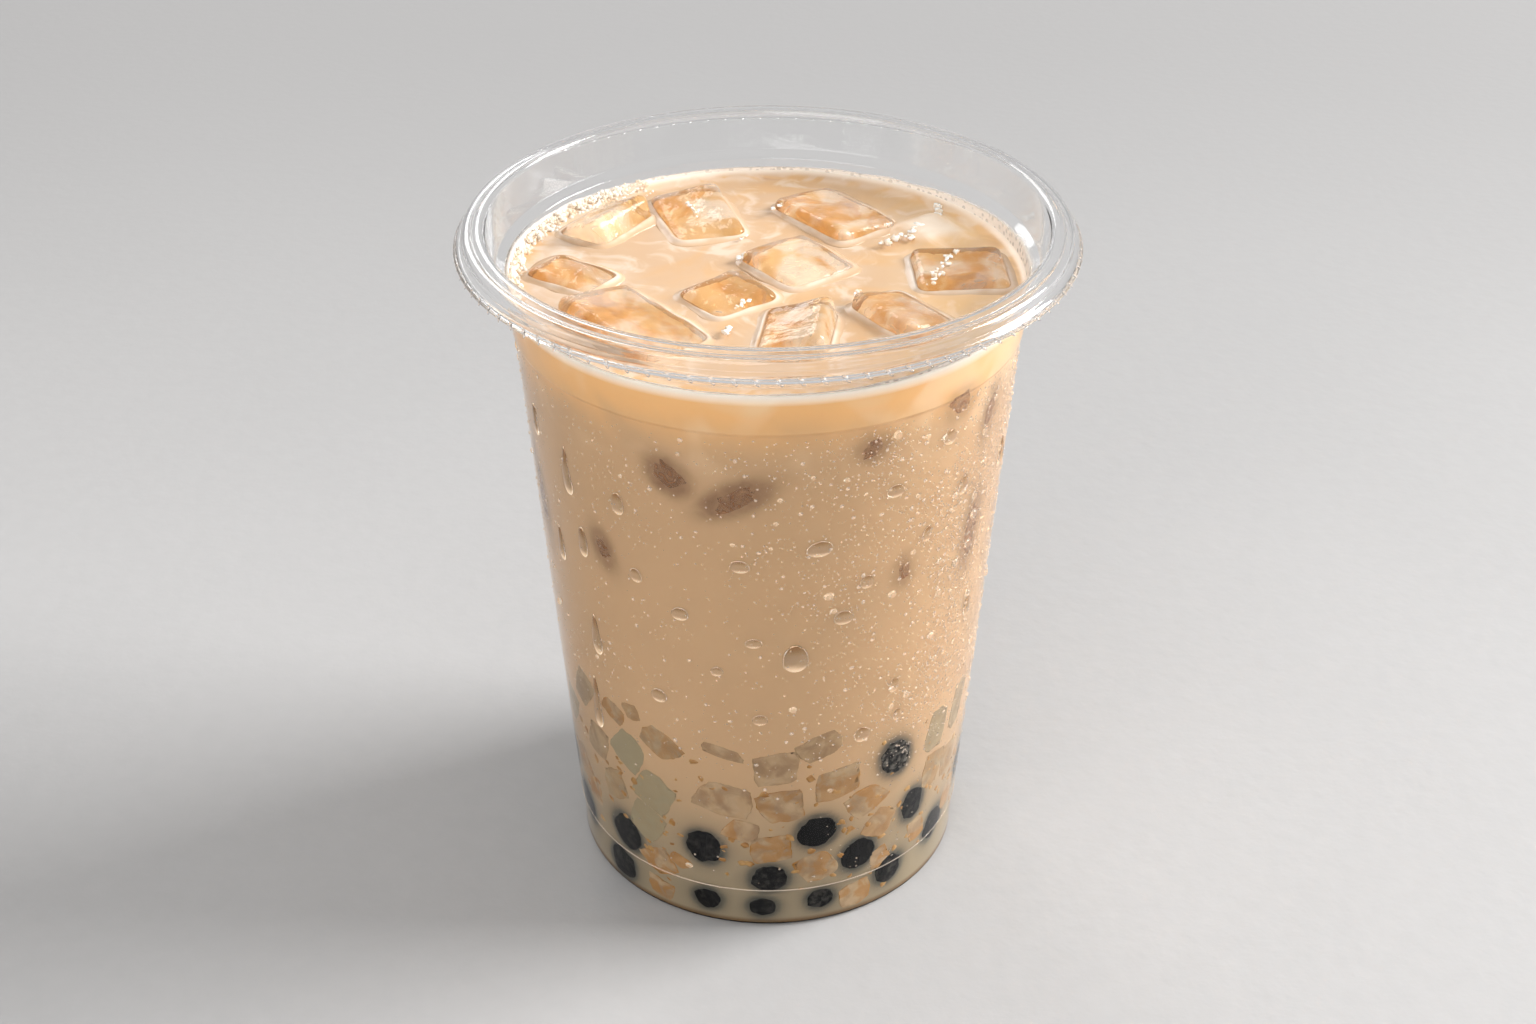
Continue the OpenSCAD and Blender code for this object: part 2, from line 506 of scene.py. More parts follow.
def brim_line(cup):
    """Middle of the sheet over the bead's two ridges and out along the skirt."""
    half = cup.wall / 2
    outer = bead_radius(cup)
    mouth_r = outer - cup.bead_width
    low = CUP_HEIGHT - cup.bead_depth
    trim = 0.8                   # share of the skirt that the plain sheet reaches; the ribs go on
    return [
        *arc(mouth_r + cup.bead_r, CUP_HEIGHT - cup.bead_r, cup.bead_r - half, 180, 50, 10),
        *arc(outer - cup.bead_r, CUP_HEIGHT - cup.ridge_drop - cup.bead_r, cup.bead_r - half, 120, 0, 10),
        (outer - half, low),
        (outer + cup.skirt_flare * trim, low - cup.skirt_drop * trim),
    ]


def radius_at(path, z):
    """Radius of a path at heights above the base's edge."""
    path = [p for p in path if p[0] > 0.033]
    return np.interp(z, [p[1] for p in path], [p[0] for p in path])


class Wall:
    """Inner and outer faces of the wall, for placing what touches them."""

    def __init__(self, cup):
        line = softened(body_line(cup), cup.corner_r)
        self.inner_path = [tuple(p) for p in shifted(line, cup.wall / 2)]
        self.outer_path = [tuple(p) for p in shifted(line, -cup.wall / 2)]

    def inner(self, z):
        return radius_at(self.inner_path, z)

    def outer(self, z):
        return radius_at(self.outer_path, z)

    def place(self, face, bearing, z, across, up, out):
        """Points beside a spot on the wall: distances across and up its face, and out of it."""
        heights = z + np.asarray(up)
        radius = face(np.clip(heights, 0.0012, 0.1135))
        turn = bearing + np.asarray(across) / radius
        radius = radius + np.asarray(out)
        return np.stack([radius * np.cos(turn), radius * np.sin(turn), heights], -1)


# ---------------------------------------------------------------- finishes

def toned(tint, *factors):
    """A colour times one factor, or times one for each of red, green and blue."""
    return [c * s for c, s in zip(tint, factors if len(factors) == 3 else factors * 3)]


def clear_plastic(name="clear_plastic", sheen=1.0):
    """Thin clear plastic with faint forming ripples."""
    f = Finish(name)
    waves = f.noise(60.0, 2.0, coords=f.stretched((1.0, 1.0, 0.25)))
    fine = f.noise(900.0, 2.0)
    return f.principled({
        "Base Color": (1.0, 1.0, 1.0), "Roughness": 0.02, "IOR": 1.37, "Transmission Weight": 1.0,
        "Specular Tint": (sheen, sheen, sheen),
        "Normal": f.bump(waves + fine * 0.04, 0.0004, 0.25)})


def tea_finish(look, open_face):
    """Opaque milk tea: tan at the wall, paler on top, amber under the ice, with painted glow and painted
    shade; only the top shines.
    """
    f = Finish("milk_tea_surface" if open_face else "milk_tea_at_wall")
    z = f.along("Z")
    clouds = f.noise(55.0, 4.0, 0.6)
    streaks = f.noise(48.0, 4.0, 1.4)
    body = f.mix(clouds.step(0.3, 0.7) * 0.35, look.side_colour, toned(look.side_colour, 1.10))
    dull = 1.0 - z.step(0.006, 0.040)
    body = f.mix(dull, body, toned(look.side_colour, 0.60, 0.71, 0.80))
    # Painted light: a warm glow just below the level, as if lit from above.
    warm = (z + (clouds - 0.5) * 0.010).step(TEA_Z - 0.0120, TEA_Z - 0.0010)
    body = f.mix(warm, body, look.glow_colour)
    blots = f.noise(75.0, 2.0, 0.4).step(0.50, 0.66) * z.step(TEA_Z - 0.0180, TEA_Z - 0.0090)
    body = f.mix(blots.capped() * 0.55, body, (0.98, 0.74, 0.48))
    sole = 1.0 - z.step(0.0008, 0.0018)
    body = f.mix(sole * 0.8, body, (0.20, 0.10, 0.035))
    top = f.mix(streaks.step(0.42, 0.66) * 0.5, look.top_colour, look.amber_colour)
    cream = f.noise(150.0, 3.0, 1.0).step(0.5, 0.7)
    top = f.mix(cream * 0.35, top, look.milk_colour)
    # Painted light: the right of the surface is brighter and more orange, and glows.
    right = f.along("X").step(0.010, 0.042)
    top = f.mix(right * 0.6, top, (0.80, 0.52, 0.25))
    # Painted shade: the left of the surface is darker.
    top = f.mix((1.0 - f.along("X").step(-0.040, -0.004)) * 0.4, top, toned(look.top_colour, 0.78))
    colour = f.mix(f.attribute("top"), body, top)
    swirl = f.noise(105.0, 3.0, 1.2)
    pale = [0.5 * (a + b) for a, b in zip(look.top_colour, look.milk_colour)]
    cloudy = f.mix(swirl.step(0.40, 0.56), look.amber_colour, pale)
    deep = toned(look.amber_colour, 0.62, 0.46, 0.36)
    cloudy = f.mix((1.0 - swirl.step(0.30, 0.40)) * 0.8, cloudy, deep)
    colour = f.mix(f.attribute("amber"), colour, cloudy)
    colour = f.mix(f.attribute("film"), colour, look.milk_colour)
    ragged = f.noise(420.0, 3.0)
    halo = (f.attribute("halo") * (0.75 + ragged * 0.5)).capped()
    colour = f.mix(halo, colour, look.halo_colour)
    sunk = (f.attribute("sunk") * (0.45 + f.noise(300.0, 3.0, 0.8) * 1.1)).capped()
    colour = f.mix(sunk, colour, look.sunk_colour)
    bumps = f.noise(240.0, 3.0) * 0.5 + f.noise(900.0, 2.0) * 0.1
    # Painted glow: emission under the ice, in the band near the wall and on the right of the surface, and
    # on the side just below the level and on the film.
    lit = f.attribute("amber") + right * 0.5 if open_face else warm * 0.5 + f.attribute("film")
    glow = f.mix(lit.capped(), (0.0, 0.0, 0.0), colour)
    return f.principled({
        "Base Color": colour, "Roughness": 0.22, "IOR": 1.34,
        "Specular IOR Level": 0.5 if open_face else 0.0,
        "Emission Color": glow, "Emission Strength": look.painted_glow,
        "Normal": f.bump(bumps * f.attribute("top"), 0.0002, 0.5)})


def ice_finish():
    """Wet melting ice: clear, with amber and milky clouds of drink showing in it."""
    f = Finish("melting_ice")
    dents = f.noise(170.0, 3.0, 0.6) + f.noise(700.0, 2.0) * 0.18
    swirl = f.noise(110.0, 3.0, 1.2)
    tint = f.mix(swirl.step(0.40, 0.62), (0.84, 0.53, 0.22), (1.0, 0.88, 0.70))
    return f.principled({
        "Base Color": tint, "Roughness": 0.03, "IOR": 1.31, "Transmission Weight": 0.72,
        "Normal": f.bump(dents, 0.0008, 0.75)})


def meniscus_finish(look):
    """Drink drawn up against the ice: milky at its crest, brown where the ice begins."""
    f = Finish("tea_meniscus")
    crest = (f.attribute("crest") * (0.2 + f.noise(140.0, 3.0).step(0.40, 0.62) * 0.8)).capped()
    base = f.mix(f.noise(160.0, 3.0).step(0.35, 0.75) * 0.4, look.top_colour,
                 toned(look.top_colour, 1.04, 1.09, 1.16))
    base = f.mix(crest * 0.5, base, look.milk_colour)
    base = f.mix(f.attribute("line"), base, (0.40, 0.19, 0.06))
    return f.principled({
        "Base Color": base, "Roughness": 0.16, "IOR": 1.34,
        "Normal": f.bump(f.noise(500.0, 2.0), 0.0001, 0.4)})


def glint_chip_finish():
    """Bits of wet ice, patched near white as painted glints."""
    f = Finish("ice_chips")
    return f.principled({
        "Base Color": f.mix(f.noise(900.0, 2.0).step(0.40, 0.60), (0.86, 0.72, 0.56), (1.0, 0.98, 0.95)),
        "Roughness": 0.08, "IOR": 1.31, "Normal": f.bump(f.noise(1600.0, 2.0), 0.0002, 0.6)})


def pearl_finish():
    """Glossy black tapioca with scuffs and a milky bloom."""
    f = Finish("tapioca")
    scuff = f.noise(700.0, 4.0, 1.0, f.stretched((1.0, 1.0, 0.4)))
    bloom = (f.attribute("bloom") * f.noise(800.0, 3.0).step(0.42, 0.70)).capped()
    base = f.mix(scuff.step(0.45, 0.8), (0.004, 0.004, 0.0045), (0.014, 0.013, 0.013))
    edge = f.mix(f.attribute("rim").step(0.5, 1.0) * 0.5, base, (0.020, 0.021, 0.020))
    return f.principled({
        "Base Color": f.mix(bloom, edge, (0.22, 0.20, 0.17)),
        "Roughness": 0.3 + scuff * 0.25, "IOR": 1.4, "Specular IOR Level": 0.03,
        "Normal": f.bump(scuff, 0.0002, 0.5)})


def jelly_finish():
    """Translucent grey-beige jelly with pale edges and amber stains."""
    f = Finish("jelly")
    cloud = f.noise(300.0, 3.0, 0.6)
    rim = f.attribute("rim")
    patches = f.noise(260.0, 3.0, 0.8).step(0.42, 0.56)
    stain = f.attribute("stain") * (patches * (0.6 + rim.step(0.0, 0.6))).capped()
    base = f.mix(cloud.step(0.3, 0.7), (0.42, 0.275, 0.155), (0.62, 0.44, 0.265))
    base = f.mix(f.attribute("tone"), base, (0.43, 0.36, 0.225))
    base = f.mix(rim.step(0.35, 0.85) * 0.35, base, (0.42, 0.28, 0.13))
    base = f.mix(stain.capped(), base, (0.50, 0.22, 0.035))
    return f.principled({
        "Base Color": f.mix(rim.step(0.86, 1.0) * 0.85, base, (0.80, 0.64, 0.44)),
        "Roughness": 0.25, "IOR": 1.36, "Specular IOR Level": 0.1,
        "Normal": f.bump(f.noise(800.0, 2.0), 0.0001, 0.4)})


def crumb_finish():
    """Amber crumbs that settle among the jelly."""
    f = Finish("amber_crumb")
    return f.principled({
        "Base Color": f.mix(f.noise(500.0, 2.0).step(0.3, 0.7), (0.42, 0.18, 0.03), (0.62, 0.36, 0.12)),
        "Roughness": 0.3, "Normal": f.bump(f.noise(1500.0, 2.0), 0.0001, 0.4)})


def sunk_ice_finish():
    """Corner of ice pressed to the wall, dark through the drink."""
    f = Finish("sunk_ice")
    veins = f.noise(420.0, 4.0, 1.5)
    return f.principled({
        "Base Color": f.mix(veins.step(0.38, 0.66), (0.34, 0.145, 0.07), (0.54, 0.29, 0.15)),
        "Roughness": 0.3, "Specular IOR Level": 0.1,
        "Alpha": ((1.0 - f.attribute("rim").step(0.0, 1.0)) * (veins.step(0.25, 0.75) * 0.8)).capped()})


def run_finish():
    """Large drops: painted shade along the top and a painted glow at the bottom, where light gathers."""
    f = Finish("water_drop")
    low = f.attribute("low")
    gleam = f.mix(low.step(0.60, 0.92), (0.0, 0.0, 0.0), (1.0, 0.84, 0.64))
    return f.principled({
        "Base Color": f.mix(low.step(0.05, 0.35), (0.80, 0.68, 0.54), (1.0, 1.0, 1.0)),
        "Roughness": 0.01, "IOR": 1.33, "Transmission Weight": 1.0,
        "Emission Color": gleam, "Emission Strength": 0.22,
        "Normal": f.bump(f.noise(900.0, 1.0), 0.0001, 0.2)})


def water_finish():
    """Clear water with a faint skin ripple, and a faint painted glow for the light that gathers in it."""
    f = Finish("water")
    return f.principled({
        "Base Color": (1.0, 1.0, 1.0), "Roughness": 0.01, "IOR": 1.33, "Transmission Weight": 1.0,
        "Emission Color": (1.0, 0.82, 0.62), "Emission Strength": 0.10,
        "Normal": f.bump(f.noise(1400.0, 1.0), 0.0001, 0.25)})


def mist_finish(name="water_mist"):
    """Beads or ridges too fine to see through, pale cream and faintly glowing as painted highlights, so
    that they catch the light.
    """
    f = Finish(name)
    return f.principled({
        "Base Color": (1.0, 0.88, 0.75), "Roughness": 0.10, "IOR": 1.30, "Transmission Weight": 0.82,
        "Emission Color": (1.0, 0.86, 0.72), "Emission Strength": 0.08,
        "Normal": f.bump(f.noise(1400.0, 1.0), 0.0001, 0.25)})


def froth_finish():
    """White milk froth."""
    f = Finish("milk_froth")
    return f.principled({
        "Base Color": f.mix(f.noise(500.0, 2.0).step(0.35, 0.65), (0.90, 0.78, 0.62), (0.97, 0.92, 0.84)),
        "Roughness": 0.12, "IOR": 1.34, "Alpha": (0.35 + f.noise(500.0, 2.0) * 0.7).capped(),
        "Normal": f.bump(f.noise(1500.0, 2.0), 0.0001, 0.4)})


def film_finish():
    """Thin milky film left on the wall."""
    f = Finish("milk_film")
    holes = f.cells(900.0).step(0.25, 0.5)
    return f.principled({
        "Base Color": (0.92, 0.85, 0.77), "Roughness": 0.3, "IOR": 1.34,
        "Alpha": (f.attribute("film") * (0.45 + holes * 0.45 + f.noise(120.0, 2.0) * 0.2)).capped(),
        "Normal": f.bump(f.noise(700.0, 3.0), 0.0002, 0.5)})


def floor_finish(stage):
    """Pale floor, with painted shade that darkens it towards the back."""
    f = Finish("pale_floor")
    tone = f.noise(9.0, 5.0) * 0.6 + f.noise(220.0, 3.0) * 0.4
    near = f.mix(tone.step(0.3, 0.7), toned(stage.floor_colour, 0.97), toned(stage.floor_colour, 1.02))
    # Painted shade: the base colour darkens towards the back.
    return f.principled({
        "Base Color": f.mix(f.along("Y").step(-0.05, 0.45) * 0.9, near, toned(stage.floor_colour, 0.72)),
        "Roughness": 0.7, "Specular IOR Level": 0.3,
        "Normal": f.bump(f.noise(300.0, 4.0), 0.0003, 0.3)})


# ---------------------------------------------------------------- what lies at the wall

# Pearls that show at the front: bearing from the front in degrees, height, half width, half
# height and turn, in millimetres and degrees, and how far a milky bloom covers them.
FRONT_PEARLS = [
    (-18, 17.6, 3.3, 3.7, 10, 0.1), (13.7, 22.0, 3.6, 3.6, -20, 0.0), (26.4, 14.2, 3.3, 3.6, -10, 0.0),
    (-45, 13.6, 3.5, 4.0, 15, 0.1), (-49, 4.6, 3.4, 3.4, 0, 0.1), (-69, 10.4, 3.6, 4.0, 10, 0.0),
    (0.3, 11.4, 3.3, 3.2, 20, 0.15), (-18, 5.0, 2.5, 2.3, 0, 0.1), (-1.5, 4.4, 2.4, 2.1, 0, 0.1),
    (15.5, 5.3, 2.4, 2.2, 0, 0.25), (38, 7.2, 3.0, 3.3, -10, 0.2), (57.5, 10.4, 3.1, 3.6, -15, 0.0),
    (45, 20.4, 2.8, 3.5, 0, 0.1), (36.5, 34.0, 3.1, 4.0, 20, 0.8), (-80, 19.0, 3.4, 3.6, 0, 0.0),
    (76, 17.5, 3.1, 3.6, 0, 0.1),
]

# Jelly cubes that show at the front: bearing, height, half width, half height, turn, amber
# stain and cool tone.
FRONT_JELLY = [
    (-59, 41.0, 3.0, 4.6, -28, 0.1, 0.2), (-54, 31.5, 3.4, 4.2, -10, 0.2, 0.2),
    (-41, 34.0, 3.9, 4.4, -35, 0.0, 0.9), (-48, 24.0, 3.3, 3.6, 20, 0.3, 0.4),
    (-33, 27.0, 4.3, 4.6, -30, 0.1, 0.9), (-36.5, 19.0, 3.9, 4.4, -28, 0.1, 0.9),
    (-29.6, 39.0, 4.2, 3.2, -35, 0.7, 0.2), (-38.2, 43.6, 1.9, 1.9, 10, 0.4, 0.1),
    (-45, 41.5, 3.0, 2.2, -25, 0.9, 0.0), (-11.8, 29.6, 5.4, 3.9, -12, 0.2, 0.0),
    (-12, 40.4, 4.0, 1.3, -14, 0.2, 0.0), (2.2, 37.2, 4.4, 3.9, 14, 0.1, 0.0),
    (3.6, 28.6, 4.4, 3.9, 12, 0.7, 0.0), (13.6, 41.4, 4.3, 2.9, 24, 0.1, 0.0),
    (19.0, 32.6, 4.6, 3.7, 10, 0.7, 0.1), (27.7, 26.6, 4.0, 3.6, 30, 0.9, 0.1),
    (-7.2, 22.8, 3.3, 2.7, -14, 0.9, 0.0), (0.8, 18.6, 4.0, 3.4, 10, 0.9, 0.1),
    (-33, 10.4, 3.6, 3.4, 30, 1.0, 0.1), (-26, 12.6, 2.2, 1.6, -30, 0.9, 0.0),
    (13.8, 13.4, 3.8, 3.6, 20, 0.8, 0.1), (33, 20.0, 3.0, 3.8, -30, 0.5, 0.1),
    (34, 11.4, 2.2, 2.6, 20, 0.9, 0.0), (52.5, 34.6, 3.2, 4.8, -18, 0.1, 0.6),
    (64, 35.6, 2.7, 5.4, -10, 0.1, 0.4), (53, 25.4, 3.2, 4.2, -14, 0.5, 0.4),
    (62, 24.0, 3.0, 4.0, -10, 0.4, 0.3), (66, 14.2, 2.7, 3.6, -10, 0.6, 0.2),
    (-66, 21.6, 3.2, 4.0, 20, 0.5, 0.2), (-60, 17.0, 2.4, 2.8, 0, 0.9, 0.1),
    (26.5, 4.4, 3.4, 3.0, 14, 0.9, 0.1), (-33.5, 3.9, 3.0, 2.4, -12, 1.0, 0.1),
    (-70, 33.0, 3.0, 4.4, -16, 0.2, 0.5), (48, 13.2, 2.4, 3.0, 10, 0.9, 0.1),
]

# Ice sunk against the wall: bearing, height, half width, half height, turn, strength.
SUNK_ICE = [
    (-22, 95.0, 3.0, 2.2, -40, 1.0), (-7, 92.4, 4.4, 2.0, 28, 1.0), (-41.8, 76.6, 1.4, 2.4, 20, 0.9),
    (22.7, 100.2, 2.0, 1.8, 20, 0.6), (33.2, 74.5, 1.2, 1.8, 0, 0.6), (56.5, 75.0, 2.0, 5.6, -6, 0.7),
    (58.5, 97.4, 1.6, 3.4, -10, 0.7), (45.7, 103.0, 2.6, 2.4, 10, 0.5), (-70, 77.6, 1.8, 6.0, 8, 0.7),
    (115, 88.0, 3.0, 2.2, 20, 0.8), (150, 74.0, 2.2, 3.4, -20, 0.7), (196, 92.0, 3.6, 2.0, 10, 0.8),
    (228, 80.0, 2.0, 3.4, 15, 0.7),
]


def strewn(rng, count, taken, low, high, reach, clear):
    """Seeded spots round the wall, clear of each other and of those already taken."""
    spots = []
    for _ in range(count * 60):
        if len(spots) == count:
            break
        bearing = rng.uniform(80.0, 272.0)
        z = rng.triangular(low, high, low + (high - low) * 0.4)
        near = min((math.hypot((bearing - b) * 0.62, z - h) for b, h in taken), default=99.0)
        if near > clear + reach:
            spots.append((bearing, z))
            taken.append((bearing, z))
    return spots


def all_pearls(toppings):
    """Pearls all round: the front ones listed, the rest by rule."""
    rng = random.Random(toppings.seed)
    taken = [(b % 360, z) for b, z, *_ in FRONT_PEARLS + FRONT_JELLY]
    rows = list(FRONT_PEARLS)
    for bearing, z in strewn(rng, 30, taken, 4.5, 26.0, 3.4, 2.6):
        rows.append((bearing, z, rng.uniform(2.7, 3.6), rng.uniform(3.0, 3.8),
                     rng.uniform(-20, 20), rng.choice((0.0, 0.0, 0.1, 0.3))))
    return rows


def all_jelly(toppings):
    """Jelly cubes all round, in the gaps that the pearls leave."""
    rng = random.Random(toppings.seed + 1)
    taken = [(b % 360, z) for b, z, *_ in all_pearls(toppings) + FRONT_JELLY]
    rows = list(FRONT_JELLY)
    for bearing, z in strewn(rng, 74, taken, 5.0, 44.0, 3.2, 2.7):
        rows.append((bearing, z, rng.uniform(2.4, 4.2), rng.uniform(2.6, 4.4),
                     rng.uniform(-45, 45), rng.choice((0.1, 0.2, 0.6, 0.9)),
                     rng.choice((0.0, 0.1, 0.5, 0.9))))
    return rows


def at_wall(row):
    """Bearing in radians, height and half sizes in metres and turn of a row above."""
    bearing, z, half_w, half_h, turn = row[:5]
    return FRONT + math.radians(bearing), z / 1000, half_w / 1000, half_h / 1000, math.radians(turn)


def turned(across, up, turn):
    return (across * math.cos(turn) - up * math.sin(turn), across * math.sin(turn) + up * math.cos(turn))


def wall_mark(points, rows, spread):
    """How strongly points at the wall lie in or near the rows' outlines, from 0 to 1."""
    radius = np.hypot(points[:, 0], points[:, 1])
    turn = np.arctan2(points[:, 1], points[:, 0])
    total = np.zeros(len(points))
    for row in rows:
        bearing, z, half_w, half_h, tilt = at_wall(row)
        across = (np.mod(turn - bearing + math.pi, 2 * math.pi) - math.pi) * radius
        up = points[:, 2] - z
        near = (np.abs(across) < 0.02) & (np.abs(up) < 0.02)
        u, v = turned(across[near], up[near], -tilt)
        gap = np.maximum(np.hypot(u / half_w, v / half_h) - 1, 0) * min(half_w, half_h)
        strength = row[5] if rows is SUNK_ICE else 1.0
        total[near] = np.maximum(total[near], strength * np.exp(-(gap / spread) ** 2))
    return total


def block_grid(steps):
    """Points and faces of a cube from -1 to 1 whose sides are grids, with points shared."""
    index = {}
    faces = []
    points = []

    def point(key):
        if key not in index:
            index[key] = len(points)
            points.append([2 * c / steps - 1 for c in key])
        return index[key]

    for axis in range(3):
        for side in (0, steps):
            for i in range(steps):
                for j in range(steps):
                    corners = []
                    for a, b in ((i, j), (i + 1, j), (i + 1, j + 1), (i, j + 1)):
                        key = [a, b]
                        key.insert(axis, side)
                        corners.append(point(tuple(key)))
                    faces.append(corners if side else corners[::-1])
    return np.array(points, float), faces


def rounded_block(steps, hardness):
    """A cube grid pulled towards a ball: 0 is a ball and 1 a cube."""
    points, faces = block_grid(steps)
    ball = points / np.linalg.norm(points, axis=1)[:, None]
    return ball * (1 - hardness) + points * hardness, faces


def scaled(rows, share):
    """Rows with their half sizes times a share."""
    return [(*row[:2], row[2] * share, row[3] * share, *row[4:]) for row in rows]


def press_to_wall(wall, rows, *, steps, hardness, depth, proud, sink=0.26, rough, skew,
                  extra=lambda row: {}):
    """Blocks pressed flat against the inside of the wall, joined in one mesh.

    steps is how fine a block's sides are, from hardness 0 for a ball to 1 for a cube. depth is
    how deep it is against its width, proud how far it reaches into the wall and sink how far its
    middle lies behind the wall as a share of that depth. rough and skew bend its outline, and
    extra gives the numbers to store for a row.
    """
    block, block_faces = rounded_block(steps, hardness)
    points = []
    faces = []
    marks = {"rim": []}
    for number, row in enumerate(rows):
        bearing, z, half_w, half_h, tilt = at_wall(row)
        size = math.sqrt(half_w * half_h)
        wobble = np.array([1 + rough * (ripple(p, 1.6, number * 3.1) + 0.5 * ripple(p, 4.2, number))
                           for p in block])
        local = block * wobble[:, None]
        lean = skew * math.sin(number * 2.4)
        taper = skew * math.sin(number * 5.3 + 1.0)
        local[:, 0] += local[:, 1] * lean + local[:, 0] * local[:, 1] * taper
        across, up = turned(local[:, 0] * half_w, local[:, 1] * half_h, tilt)
        out = local[:, 2] * size * depth - size * depth * sink
        pressed = np.minimum(out, proud)
        marks["rim"].append(1 - smoothstep(0.0001, 0.0001 + 0.22 * size, out))
        start = len(points) * len(block)
        points.append(wall.place(wall.inner, bearing, z, across, np.maximum(up, 0.0016 - z), pressed))
        faces += [[start + i for i in face] for face in block_faces]
        for label, value in extra(row).items():
            marks.setdefault(label, []).append(np.full(len(block), value))
    return np.vstack(points), faces, {k: np.concatenate(v) for k, v in marks.items()}


# ---------------------------------------------------------------- ice outlines

def ice_outlines():
    """For each cube of ice, its outline at the drink's level as ordered points."""
    outlines = []
    for name in ICE_NODES:
        mesh = frame["nodes"][name].data
        found = []
        for edge in mesh.edges:
            a, b = (mesh.vertices[i].co for i in edge.vertices)
            if (a.z - TEA_Z) * (b.z - TEA_Z) < 0:
                found.append(a.lerp(b, (TEA_Z - a.z) / (b.z - a.z)))
        middle = sum(found, Vector()) / len(found)
        found.sort(key=lambda p: math.atan2(p.y - middle.y, p.x - middle.x))
        outlines.append(hull([(p.x, p.y) for p in found]))
    return outlines


def hull(points):
    """Convex outline of points, anticlockwise."""
    points = sorted(set((round(x, 6), round(y, 6)) for x, y in points))

    def half(sequence):
        out = []
        for p in sequence:
            while len(out) > 1 and cross(out[-2], out[-1], p) <= 0:
                out.pop()
            out.append(p)
        return out[:-1]

    return np.array(half(points) + half(points[::-1]))


def cross(a, b, c):
    return (b[0] - a[0]) * (c[1] - a[1]) - (b[1] - a[1]) * (c[0] - a[0])


def outline_gap(x, y, outline):
    """Signed distance from points to a convex outline, negative inside."""
    nearest = np.full(x.shape, 1.0)
    inside = np.full(x.shape, -1.0)
    for a, b in zip(outline, np.roll(outline, -1, axis=0)):
        run = b - a
        length = np.hypot(*run)
        if length < 1e-7:
            continue
        share = np.clip(((x - a[0]) * run[0] + (y - a[1]) * run[1]) / length ** 2, 0, 1)
        nearest = np.minimum(nearest, np.hypot(x - a[0] - share * run[0], y - a[1] - share * run[1]))
        inside = np.maximum(inside, (run[1] * (x - a[0]) - run[0] * (y - a[1])) / length)
    return np.where(inside < 0, inside, nearest)


# ---------------------------------------------------------------- operators

def finish_piece(piece, slot, *nodes):
    """Hands a finished piece to the frame."""
    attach(piece, "root")
    if nodes:
        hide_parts(*nodes)


